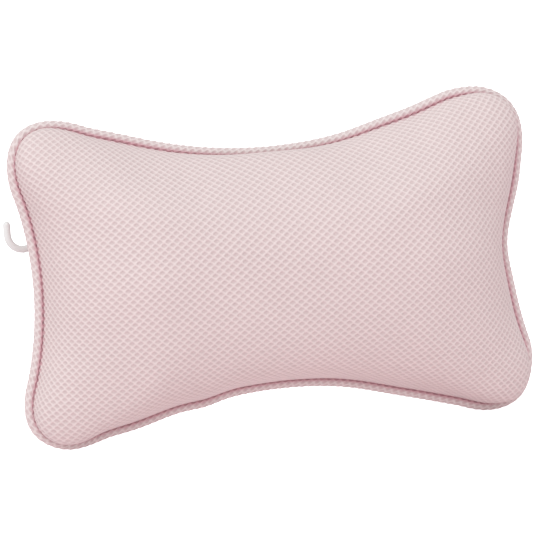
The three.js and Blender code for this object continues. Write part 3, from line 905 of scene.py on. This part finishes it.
class PILLOW_OT_piping(Operator):
    """Wrap the piping in mesh round its twisted cord"""

    bl_idname = "pillow.piping"
    bl_label = "Piping"

    def execute(self, context):
        settings = context.scene.bath_pillow
        self.cover(settings)
        self.core(settings)
        return {"FINISHED"}

    def cover(self, settings):
        """The mesh round the cord."""
        cloth = settings.mesh
        line = SeamLine(settings.shape)
        repeats, rows = cloth.piping_repeats, cloth.piping_rows
        radius = settings.shape.piping_radius - cloth.knot_rise * cloth.piping_relief
        along_scale = line.length / (repeats * cloth.cell_width)
        round_scale = 2 * math.pi / (rows * cloth.cell_height)

        def place(flat):
            """Positions and normals on the tube under flat points, all of which lie on it."""
            angle = flat[:, 1] * round_scale
            shift = cloth.piping_slant * cloth.cell_width * angle / (2 * math.pi)
            middle, outward = line.at((flat[:, 0] + shift) * along_scale)
            normals = np.stack(
                [outward[:, 0] * np.cos(angle), -np.sin(angle), outward[:, 1] * np.cos(angle)], axis=1
            )
            centre = np.stack([middle[:, 0], np.full(len(flat), SEAM_Y), middle[:, 1]], axis=1)
            return centre + radius * normals, normals, np.full(len(flat), True)

        centres = cell_middles((0, 0), (repeats, rows))
        material = air_mesh_material("piping_mesh", cloth, cloth.piping)
        wrap = 4 * repeats, 4 * rows, 4 * cloth.piping_slant
        piece, flat = knitted("piping_tube", centres, wrap, place, cloth, cloth.piping_relief, material, True)
        # The strip is cut into rows, so that its map isn't one thin line
        cut = 8
        strip = repeats * cloth.cell_width / cut
        row_step = (rows + 1.5) * cloth.cell_height
        per_cell = len(flat) // len(centres)
        middle = flat.reshape(-1, per_cell, 2).mean(axis=1)[:, 0]
        row = np.repeat(np.floor(middle / strip), per_cell)
        lay_out(piece, flat - np.stack([row * strip, -row * row_step], axis=1))
        points = np.array([v.co for v in piece.data.vertices])
        set_values(piece.data, "seam_nearness", self.inner_flank(line, points))
        fitted(piece, "pillow", "piping_mesh", "piping_cover")

    def inner_flank(self, line, points):
        """1 on the piping's side that faces the panels, where the groove's painted shade falls, 0 on the
        rest.
        """
        steps = 2400
        tint_none, tint_full = 0.1 * MM, 1.5 * MM
        middle, outward = line.at(np.linspace(0, line.length, steps, endpoint=False))
        places = [Vector((x, 0, z)) for x, z in middle]
        tree = BVHTree.FromPolygons(places, [(i, (i + 1) % steps, (i + 2) % steps) for i in range(steps)])
        flank = []
        for x, _, z in points:
            nearest = tree.find_nearest(Vector((x, 0, z)))[2]
            normal = outward[nearest]
            flank.append(-((x - middle[nearest, 0]) * normal[0] + (z - middle[nearest, 1]) * normal[1]))
        return smoothstep(tint_none, tint_full, flank)

    def core(self, settings):
        """The twisted cord inside the mesh."""
        line = SeamLine(settings.shape)
        low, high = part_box("piping_cord")
        radius = (high.y - low.y) / 2
        strands, sides, rings, turns = 3, 18, 480, 105
        groove = 0.1
        lengths = np.linspace(0, line.length, rings, endpoint=False)
        middle, outward = line.at(lengths)
        angle = np.linspace(0, 2 * math.pi, sides, endpoint=False)[None]
        twist = (2 * math.pi * turns / strands * np.arange(rings) / rings)[:, None]
        reach = radius * (1 - groove + groove * np.abs(np.cos(strands / 2 * (angle - twist))))
        side = reach * np.cos(angle)
        corners = np.stack(
            [
                middle[:, :1] + outward[:, :1] * side,
                SEAM_Y + reach * np.sin(angle),
                middle[:, 1:] + outward[:, 1:] * side,
            ],
            axis=-1,
        )
        yarn = moulded_material("cord_yarn", settings.fittings.cord, 0.8, 0.08 * MM)
        piece = new_piece("piping_core", corners.reshape(-1, 3), ring_faces(rings, sides, True), yarn)
        fitted(piece, "pillow", "cord_yarn", "piping_cord")


# Cups and patches


def lathe(profile, place, sides, closed):
    """Corners and faces of a profile of (radius, y), open or closed, turned about an axis along Y."""
    profile = np.asarray(profile, float)
    angle = np.linspace(0, 2 * math.pi, sides, endpoint=False)
    corners = np.stack(
        [
            place[0] + profile[:, :1] * np.cos(angle),
            np.repeat(profile[:, 1:], sides, axis=1),
            place[1] + profile[:, :1] * np.sin(angle),
        ],
        axis=-1,
    )
    return corners.reshape(-1, 3), ring_faces(len(profile), sides, closed)


class PILLOW_OT_cups(Operator):
    """Mould the four clear suction cups"""

    bl_idname = "pillow.cups"
    bl_label = "Suction cups"

    def execute(self, context):
        fittings = context.scene.bath_pillow.fittings
        material = vinyl_material(fittings)
        profile = self.profile(fittings)
        sides = 96
        for corner, place in cup_places().items():
            corners, faces = lathe(profile, place, sides, False)
            piece = new_piece(f"cup_{corner}", corners, faces, material)
            weld = piece.modifiers.new("Weld", "WELD")
            weld.merge_threshold = 0.01 * MM
            bevelled(piece, 0.3 * MM, 3, 40)
            applied(piece)
            fitted(piece, f"cup_{corner}", "clear_vinyl", f"suction_cup_{corner}")
        return {"FINISHED"}

    def profile(self, fittings):
        """From the hollow's middle out over the lip, up the skirt and neck to the button's crown."""
        rim = fittings.lip_radius - fittings.lip_width
        reach = np.linspace(0, 1, 25)
        hollow = np.stack(
            [rim * reach, -fittings.hollow_depth * (1 - reach**fittings.hollow_fullness)], axis=1
        )
        step = np.linspace(0, 1, 21)
        skirt_height = fittings.cup_height - fittings.shoulder_thickness - fittings.lip_thickness
        skirt = np.stack(
            [
                fittings.lip_radius + (fittings.shoulder_radius - fittings.lip_radius) * step,
                -fittings.lip_thickness - skirt_height * step**fittings.skirt_flare,
            ],
            axis=1,
        )
        button_low = -CUP_LOW.y - fittings.button_thickness
        dome = np.linspace(0, math.pi / 2, 12)
        dome_share = 0.55
        dome_height = fittings.button_thickness * dome_share
        dome_start = button_low + fittings.button_thickness - dome_height
        crown = np.stack(
            [fittings.button_radius * np.cos(dome), -dome_start - dome_height * np.sin(dome)], axis=1
        )
        return np.concatenate(
            [
                hollow,
                [[fittings.lip_radius, 0]],
                skirt,
                [[fittings.shoulder_radius, -fittings.cup_height]],
                [[fittings.neck_radius, -fittings.cup_height]],
                [[fittings.neck_radius, -button_low]],
                [[fittings.button_radius, -button_low]],
                crown,
            ]
        )


class PILLOW_OT_patches(Operator):
    """Sew the four round patches to the back panel"""

    bl_idname = "pillow.patches"
    bl_label = "Patches"

    def execute(self, context):
        fittings = context.scene.bath_pillow.fittings
        cloth = woven_material("patch_cloth", fittings.patch_cloth, 0.55 * MM)
        thread = thread_material(fittings)
        profile = self.profile(fittings)
        sides = 72
        for corner, place in cup_places().items():
            corners, faces = lathe(profile, place, sides, True)
            piece = new_piece(f"patch_{corner}", corners, faces, cloth)
            bevelled(piece, 0.15 * MM, 2, 30)
            applied(piece)
            fitted(piece, "pillow", "patch_cloth", f"cup_patch_{corner}")
            stitches = new_piece(f"patch_stitches_{corner}", *self.stitches(fittings, place), thread)
            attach(stitches, "pillow")
        return {"FINISHED"}

    def profile(self, fittings):
        """From the hole's lower edge up, over the face and down the outer edge."""
        low, high = PATCH_LOW.y, PATCH_HIGH.y
        hole = fittings.patch_hole
        edge = fittings.patch_radius - 0.1 * MM
        hole_drop, hole_round, edge_round = 0.2 * MM, 0.3 * MM, 0.4 * MM
        inner = [(hole, low), (hole, high - hole_drop), (hole + hole_round, high)]
        return inner + [(edge - edge_round, high), (edge, high - edge_round), (edge, low)]

    def stitches(self, fittings, place):
        """Slanted stitches that start on the patch and dip over its edge."""
        parts = []
        rounds = fittings.patch_stitches
        slant = 0.35
        step = np.linspace(0, 1, 9)
        reach = fittings.patch_radius + np.linspace(-2.2, 0.5, len(step)) * MM
        lift = PATCH_HIGH.y + (0.12 - step**6) * MM
        for k in range(rounds):
            angle = 2 * math.pi * (k + slant * step) / rounds
            x = place[0] + reach * np.cos(angle)
            z = place[1] + reach * np.sin(angle)
            parts.append(rod(np.stack([x, lift, z], axis=1), fittings.thread_radius, 6, (0, 1, 0)))
        return joined(parts)


# Strap and hook


class PILLOW_OT_strap(Operator):
    """Fold the tape round the hook's bar and tack its ends to the back panel"""

    bl_idname = "pillow.strap"
    bl_label = "Strap"

    def execute(self, context):
        fittings = context.scene.bath_pillow.fittings
        hinge = JOINTS["strap_fold"]
        bar = Vector(JOINTS["hook_swing"]["pos_m"])
        top = Vector(hinge["pos_m"])
        slope = math.atan2(hinge["axis"][1], hinge["axis"][0])
        path = self.path(fittings, bar, top, slope)
        cloth = woven_material("strap_tape", fittings.tape, 0.45 * MM)
        tape = new_piece("strap_tape", *self.tape(fittings, path), cloth)
        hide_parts("hook_strap")
        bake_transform(tape)
        tack = new_piece("strap_tack", *self.tack(fittings, path[-1]), thread_material(fittings))
        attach(tack, "pillow")
        return {"FINISHED"}

    def path(self, fittings, bar, top, slope):
        """(middle, way across, way out of the face) along the tape, from its inner end to its outer end."""
        tree = node_tree("back_panel")
        half = fittings.tape_width / 2
        thick = fittings.tape_thickness
        fold = fittings.bar_radius + fittings.seat_gap + thick / 2

        def resting(z, twist):
            """y of the tape's middle where it lies on the back panel."""
            faces = []
            for edge in (-half, 0, half):
                under = face_height(tree, bar.x + edge * math.cos(twist), z, 1)
                faces.append(under - edge * math.sin(twist))
            return max(faces) + (fittings.seat_gap + thick / 2) / math.cos(twist)

        def section(y, z, twist, turned):
            """A place on the path; turned is how far the tape's face has gone round the bar."""
            across = Vector((math.cos(twist), math.sin(twist), 0))
            out = Vector((-math.sin(twist), math.cos(twist), 0)) * math.cos(turned)
            out.z = math.sin(turned)
            return Vector((bar.x, y, z)), across, out

        drop = top.z - bar.z
        inner_top = resting(top.z, slope)
        inner = []
        outer = []
        steps = 24
        for i in range(steps):
            part = i / steps
            z = top.z - drop * part
            twist = slope * (1 - part)
            eased = inner_top + (bar.y - fold - inner_top) * part**2 * (3 - 2 * part)
            y = max(eased, resting(z, twist))
            apart = thick + fittings.seat_gap + (2 * fold - thick - fittings.seat_gap) * part**2
            inner.append(section(y, z, twist, 0))
            outer.insert(0, section(y + apart / math.cos(twist), z, twist, math.pi))
        bight = []
        for i in range(steps + 1):
            angle = math.pi * i / steps
            bight.append(section(bar.y - fold * math.cos(angle), bar.z - fold * math.sin(angle), 0, angle))
        return inner + bight + outer

    def tape(self, fittings, path):
        """A ribbed tape along the path."""
        points_per_rib = 6
        groove, thinnest = 0.14, 0.2
        across = np.linspace(-1, 1, points_per_rib * fittings.tape_ribs + 1)
        rib = 1 - groove + groove * np.abs(np.cos(math.pi / 2 * fittings.tape_ribs * (across + 1)))
        edge = np.sqrt(1 - across**10)
        half = np.maximum(rib * edge, thinnest) * fittings.tape_thickness / 2
        outline = np.concatenate([np.stack([across, half], 1), np.stack([across[::-1], -half[::-1]], 1)])
        corners = []
        for middle, side, out in path:
            for along, lift in outline:
                corners.append(middle + side * (along * fittings.tape_width / 2) - out * lift)
        return np.array([tuple(c) for c in corners]), rod_faces(len(path), len(outline))

    def tack(self, fittings, end):
        """A zigzag of thread across the tape's sewn end."""
        middle, side, out = end
        stitches = 15
        lift, bow, margin = 0.02 * MM, 0.05 * MM, 0.6 * MM
        near = Vector((0, 0, -0.25 * MM))
        far = Vector((0, 0, -1.5 * MM))
        face = -out * (fittings.tape_thickness / 2 + lift)
        reach = fittings.tape_width / 2 - margin
        parts = []
        for i in range(stitches):
            first = -reach + 2 * reach * i / stitches
            second = first + 2 * reach / stitches
            start = middle + face + side * first + (near if i % 2 else far)
            stop = middle + face + side * second + (far if i % 2 else near)
            path = [start, start.lerp(stop, 0.5) - out * bow, stop]
            parts.append(rod([tuple(p) for p in path], fittings.thread_radius, 6, tuple(out)))
        return joined(parts)


class PILLOW_OT_hook(Operator):
    """Round the moulded hook over its CAD rods"""

    bl_idname = "pillow.hook"
    bl_label = "Hook"

    def execute(self, context):
        fittings = context.scene.bath_pillow.fittings
        mesh = frame["nodes"]["hanging_hook"].data
        corners = [v.co for v in mesh.vertices]
        faces = [tuple(p.vertices) for p in mesh.polygons]
        plastic = moulded_material("hook_plastic", fittings.hook_plastic, 0.3, 0.012 * MM)
        piece = new_piece("hook_moulding", corners, faces, plastic)
        remesh = piece.modifiers.new("Remesh", "REMESH")
        remesh.mode = "VOXEL"
        remesh.voxel_size = 0.3 * MM
        remesh.use_smooth_shade = True
        smooth = piece.modifiers.new("Smooth", "SMOOTH")
        smooth.iterations = 14
        smooth.factor = 0.5
        # Smoothing thins the rods, so they are filled out again
        fill = piece.modifiers.new("Fill", "DISPLACE")
        fill.mid_level = 0
        fill.strength = 0.44 * MM
        applied(piece)
        fitted(piece, "hook", "hook_plastic", "hanging_hook")
        return {"FINISHED"}


# Materials


COLOUR = "NodeSocketColor"
VALUE = "NodeSocketFloat"
WHITE = (1, 1, 1, 1)


def node_group(name, inputs, outputs):
    """An empty shader node group: its tree, its sockets in and out by name, and the object's coordinates."""
    group = bpy.data.node_groups.new(name, "ShaderNodeTree")
    for label, kind, default in inputs:
        socket = group.interface.new_socket(label, in_out="INPUT", socket_type=kind)
        socket.default_value = default
    for label, kind in outputs:
        group.interface.new_socket(label, in_out="OUTPUT", socket_type=kind)
    start = group.nodes.new("NodeGroupInput").outputs
    end = group.nodes.new("NodeGroupOutput").inputs
    place = group.nodes.new("ShaderNodeTexCoord").outputs["Object"]
    return group, start, end, place


def feed(tree, value, socket):
    """Links a value that is a socket, and sets one that is a number."""
    if isinstance(value, (int, float)):
        socket.default_value = value
    else:
        tree.links.new(value, socket)


def math_node(tree, operation, *values):
    """A math node of sockets or numbers."""
    node = tree.nodes.new("ShaderNodeMath")
    node.operation = operation
    for socket, value in zip(node.inputs, values):
        feed(tree, value, socket)
    return node.outputs[0]


def shaded(tree, tone, value):
    """A colour made lighter or darker."""
    node = tree.nodes.new("ShaderNodeHueSaturation")
    tree.links.new(tone, node.inputs["Color"])
    feed(tree, value, node.inputs["Value"])
    return node.outputs["Color"]


def carried(tree, name):
    """A number that the mesh carries at its vertices."""
    node = tree.nodes.new("ShaderNodeAttribute")
    node.attribute_name = name
    return node.outputs["Fac"]


def mix_colour(tree, factor, first, second):
    """A colour mix of two sockets by a third."""
    node = tree.nodes.new("ShaderNodeMix")
    node.data_type = "RGBA"
    tree.links.new(factor, node.inputs["Factor"])
    tree.links.new(first, node.inputs[6])
    tree.links.new(second, node.inputs[7])
    return node.outputs[2]


def noise(tree, coordinates, scale, detail):
    """A noise value between 0 and 1."""
    node = tree.nodes.new("ShaderNodeTexNoise")
    node.inputs["Scale"].default_value = scale
    node.inputs["Detail"].default_value = detail
    tree.links.new(coordinates, node.inputs["Vector"])
    return node.outputs["Fac"]


def knit_group():
    """Tone and relief of the knitted mesh: strands, holes darkened partly by painted shade, painted shade in
    the seam groove and fine filaments.
    """
    name = "Knitted mesh"
    if name in bpy.data.node_groups:
        return bpy.data.node_groups[name]
    colours = [(label, COLOUR, WHITE) for label in ("Yarn", "Hole", "Seam")]
    tree, start, end, place = node_group(name, colours, [("Colour", COLOUR), ("Height", VALUE)])
    depth = carried(tree, "hole_depth")
    near = carried(tree, "seam_nearness")
    drift = noise(tree, place, 28, 2)
    filament = noise(tree, place, 3200, 2)
    # Yarn to hole colour by the tone ramp: painted highlight on the crossings, painted shade in the holes
    cloth = mix_colour(tree, depth, start["Yarn"], start["Hole"])
    # Painted shade: towards the seam groove the cloth turns to the darker seam colour, and its hole floors
    # darken further
    stretched = math_node(tree, "MULTIPLY", near, math_node(tree, "MULTIPLY_ADD", depth, 0.2, 0.8))
    sewn = mix_colour(tree, stretched, cloth, start["Seam"])
    value = math_node(tree, "MULTIPLY_ADD", drift, 0.05, 0.975)
    groove_hole_shade = math_node(tree, "MULTIPLY", math_node(tree, "MULTIPLY", near, depth), 0.2)
    tone = shaded(tree, sewn, math_node(tree, "SUBTRACT", value, groove_hole_shade))
    tree.links.new(tone, end["Colour"])
    tree.links.new(filament, end["Height"])
    return tree


def weave_group():
    """Relief and tone of a plain weave in the XZ plane."""
    name = "Plain weave"
    if name in bpy.data.node_groups:
        return bpy.data.node_groups[name]
    sockets = [("Cloth", COLOUR, WHITE), ("Threads", VALUE, 2000.0)]
    tree, start, end, place = node_group(name, sockets, [("Colour", COLOUR), ("Height", VALUE)])
    parts = tree.nodes.new("ShaderNodeSeparateXYZ")
    tree.links.new(place, parts.inputs[0])
    rate = math_node(tree, "MULTIPLY", start["Threads"], math.pi)
    across = math_node(tree, "SINE", math_node(tree, "MULTIPLY", parts.outputs["X"], rate))
    up = math_node(tree, "SINE", math_node(tree, "MULTIPLY", parts.outputs["Z"], rate))
    over = math_node(tree, "MULTIPLY_ADD", math_node(tree, "MULTIPLY", across, up), 0.5, 0.5)
    tone = mix_colour(tree, over, shaded(tree, start["Cloth"], 0.86), start["Cloth"])
    tree.links.new(tone, end["Colour"])
    tree.links.new(over, end["Height"])
    return tree


def moulded_group():
    """Tone and relief of a moulded surface: a faint drift and a fine grain."""
    name = "Moulded surface"
    if name in bpy.data.node_groups:
        return bpy.data.node_groups[name]
    sockets = [("Plastic", COLOUR, WHITE), ("Roughness", VALUE, 0.4)]
    outputs = [("Colour", COLOUR), ("Roughness", VALUE), ("Height", VALUE)]
    tree, start, end, place = node_group(name, sockets, outputs)
    drift = noise(tree, place, 90, 3)
    grain = noise(tree, place, 2600, 2)
    tone = shaded(tree, start["Plastic"], math_node(tree, "MULTIPLY_ADD", drift, 0.05, 0.975))
    rubbed = math_node(tree, "MULTIPLY_ADD", drift, 0.12, start["Roughness"])
    tree.links.new(tone, end["Colour"])
    tree.links.new(rubbed, end["Roughness"])
    tree.links.new(grain, end["Height"])
    return tree


def material_with(name, group, values, bump):
    """A material whose surface takes its colour and relief from a node group."""
    material = bpy.data.materials.new(name)
    material.use_nodes = True
    tree = material.node_tree
    shader = tree.nodes["Principled BSDF"]
    source = tree.nodes.new("ShaderNodeGroup")
    source.node_tree = group
    for label, value in values.items():
        source.inputs[label].default_value = value
    tree.links.new(source.outputs["Colour"], shader.inputs["Base Color"])
    relief = tree.nodes.new("ShaderNodeBump")
    relief.inputs["Distance"].default_value = bump
    tree.links.new(source.outputs["Height"], relief.inputs["Height"])
    tree.links.new(relief.outputs["Normal"], shader.inputs["Normal"])
    if "Roughness" in source.outputs:
        tree.links.new(source.outputs["Roughness"], shader.inputs["Roughness"])
    return material, shader


def solid(value):
    """A colour property with full alpha."""
    return (*value, 1)


def air_mesh_material(name, cloth, yarn):
    """The knitted mesh in one yarn, with the soft sheen of its fine hairs."""
    values = {"Yarn": solid(yarn), "Hole": solid(cloth.hole), "Seam": solid(cloth.seam)}
    material, shader = material_with(name, knit_group(), values, 0.06 * MM)
    shader.inputs["Roughness"].default_value = 0.55
    shader.inputs["Sheen Weight"].default_value = 0.4
    shader.inputs["Sheen Roughness"].default_value = 0.45
    shader.inputs["Sheen Tint"].default_value = solid(cloth.sheen)
    return material


def woven_material(name, cloth, pitch):
    """A plain-woven cloth of one colour, by the pitch of its threads."""
    values = {"Cloth": solid(cloth), "Threads": 1 / pitch}
    material, shader = material_with(name, weave_group(), values, 0.12 * MM)
    shader.inputs["Roughness"].default_value = 0.8
    shader.inputs["Sheen Weight"].default_value = 0.2
    return material


def moulded_material(name, finish, roughness, bump):
    """A material of one colour with a moulded surface's faint drift and grain."""
    values = {"Plastic": solid(finish), "Roughness": roughness}
    return material_with(name, moulded_group(), values, bump)[0]


def thread_material(fittings):
    """The sewing thread, made once for the patches and the strap."""
    name = "sewing_thread"
    if name in bpy.data.materials:
        return bpy.data.materials[name]
    return moulded_material(name, fittings.thread, 0.5, 0.02 * MM)


def vinyl_material(fittings):
    """The cups' clear soft vinyl."""
    values = {"Plastic": solid(fittings.vinyl), "Roughness": 0.06}
    material, shader = material_with("clear_vinyl", moulded_group(), values, 0.006 * MM)
    shader.inputs["Transmission Weight"].default_value = 0.92
    shader.inputs["IOR"].default_value = 1.5
    return material


# Studio


class PILLOW_OT_studio(Operator):
    """Set up the table, the lights and the camera"""

    bl_idname = "pillow.studio"
    bl_label = "Studio"

    key_place = (-0.7, -1.6, 1.5)
    window_place = (-0.6, -0.9, 1.4)
    table_half_width = 30
    table_gap = 0.2 * MM

    def execute(self, context):
        studio = context.scene.bath_pillow.studio
        self.floor(studio)
        self.lights(studio)
        self.camera(studio)
        context.scene.view_settings.view_transform = "Standard"
        return {"FINISHED"}

    def floor(self, studio):
        """The white table top, with one colour for the camera and one for the light that it throws back."""
        material = bpy.data.materials.new("table_top")
        material.use_nodes = True
        tree = material.node_tree
        shader = tree.nodes["Principled BSDF"]
        seen = tree.nodes.new("ShaderNodeMix")
        seen.data_type = "RGBA"
        seen.inputs[6].default_value = solid(studio.floor_bounce)
        seen.inputs[7].default_value = solid(studio.floor)
        ray = tree.nodes.new("ShaderNodeLightPath").outputs
        sight = math_node(tree, "MAXIMUM", ray["Is Camera Ray"], ray["Is Transmission Ray"])
        tree.links.new(sight, seen.inputs["Factor"])
        tree.links.new(seen.outputs[2], shader.inputs["Base Color"])
        shader.inputs["Emission Color"].default_value = WHITE
        added = studio.floor_glow - studio.floor_light
        glow = math_node(tree, "MULTIPLY_ADD", sight, added, studio.floor_light)
        tree.links.new(glow, shader.inputs["Emission Strength"])
        shader.inputs["Roughness"].default_value = 0.9
        shader.inputs["Specular IOR Level"].default_value = 0.1
        half = self.table_half_width
        level = PIPING_LOW.z - self.table_gap
        corners = [(-half, -half, level), (half, -half, level), (half, half, level), (-half, half, level)]
        new_piece("table_top", corners, [(0, 1, 2, 3)], material)

    def lights(self, studio):
        """The white surround, a softbox and a broad light, both at the upper left."""
        world = bpy.data.worlds.new("surround")
        world.use_nodes = True
        world.node_tree.nodes["Background"].inputs["Color"].default_value = solid(studio.indoor)
        world.node_tree.nodes["Background"].inputs["Strength"].default_value = studio.surround
        bpy.context.scene.world = world
        key = bpy.data.lights.new("key", "AREA")
        key.shape = "SQUARE"
        key.size = 1.1
        key.energy = studio.key_power
        key.color = studio.daylight
        self.aimed(key, self.key_place)
        window = bpy.data.lights.new("window", "SUN")
        window.angle = studio.window_width
        window.energy = studio.window
        window.color = studio.daylight
        self.aimed(window, self.window_place)

    def aimed(self, light, place):
        """Puts a light at a place, turned to the pillow."""
        holder = bpy.data.objects.new(light.name, light)
        aim = Vector((0, SEAM_Y, 0)) - Vector(place)
        holder.rotation_euler = aim.to_track_quat("-Z", "Y").to_euler()
        holder.location = place
        bpy.context.scene.collection.objects.link(holder)

    def camera(self, studio):
        """The camera that took the photograph's view, fitted to the outline."""
        around = -studio.azimuth
        tilt = studio.elevation
        back = Vector((math.sin(around) * math.cos(tilt), -math.cos(around) * math.cos(tilt), math.sin(tilt)))
        right = Vector((math.cos(around), math.sin(around), 0))
        up = back.cross(right)
        across = right * math.cos(studio.roll) + up * math.sin(studio.roll)
        over = up * math.cos(studio.roll) - right * math.sin(studio.roll)
        place = Vector((0, SEAM_Y, 0)) + back * studio.distance
        place = place - across * studio.aim_right - over * studio.aim_up
        data = bpy.data.cameras.new("camera")
        data.sensor_width = 36
        data.lens = studio.lens
        data.clip_end = 80
        camera = bpy.data.objects.new("camera", data)
        camera.matrix_world = Matrix.Translation(place) @ Matrix((across, over, back)).transposed().to_4x4()
        bpy.context.scene.collection.objects.link(camera)
        bpy.context.scene.camera = camera


class PILLOW_PT_build(Panel):
    """Buttons that build the pillow, in order"""

    bl_idname = "PILLOW_PT_build"
    bl_label = "Bath pillow"
    bl_space_type = "VIEW_3D"
    bl_region_type = "UI"
    bl_category = "Bath pillow"

    def draw(self, context):
        """One button for each step, then all the settings."""
        settings = context.scene.bath_pillow
        for operator in BUILD_ORDER:
            self.layout.operator(operator.bl_idname)
        for group in (settings.shape, settings.mesh, settings.fittings, settings.studio):
            box = self.layout.box()
            for name in group.__annotations__:
                box.prop(group, name)


BUILD_ORDER = (
    PILLOW_OT_stuffing,
    PILLOW_OT_panels,
    PILLOW_OT_piping,
    PILLOW_OT_cups,
    PILLOW_OT_patches,
    PILLOW_OT_strap,
    PILLOW_OT_hook,
    PILLOW_OT_studio,
)
CLASSES = (PillowShape, AirMesh, Fittings, Studio, BathPillow, *BUILD_ORDER, PILLOW_PT_build)


def register():
    """Makes the settings, the operators and the panel known to Blender."""
    for kind in CLASSES:
        bpy.utils.register_class(kind)
    bpy.types.Scene.bath_pillow = PointerProperty(type=BathPillow)


def unregister():
    """Takes them out again."""
    del bpy.types.Scene.bath_pillow
    for kind in reversed(CLASSES):
        bpy.utils.unregister_class(kind)


def main():
    """Builds the pillow step by step."""
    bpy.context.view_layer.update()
    register()
    bpy.ops.pillow.stuffing()
    bpy.ops.pillow.panels()
    bpy.ops.pillow.piping()
    bpy.ops.pillow.cups()
    bpy.ops.pillow.patches()
    bpy.ops.pillow.strap()
    bpy.ops.pillow.hook()
    bpy.ops.pillow.studio()


if __name__ == "__main__":
    main()
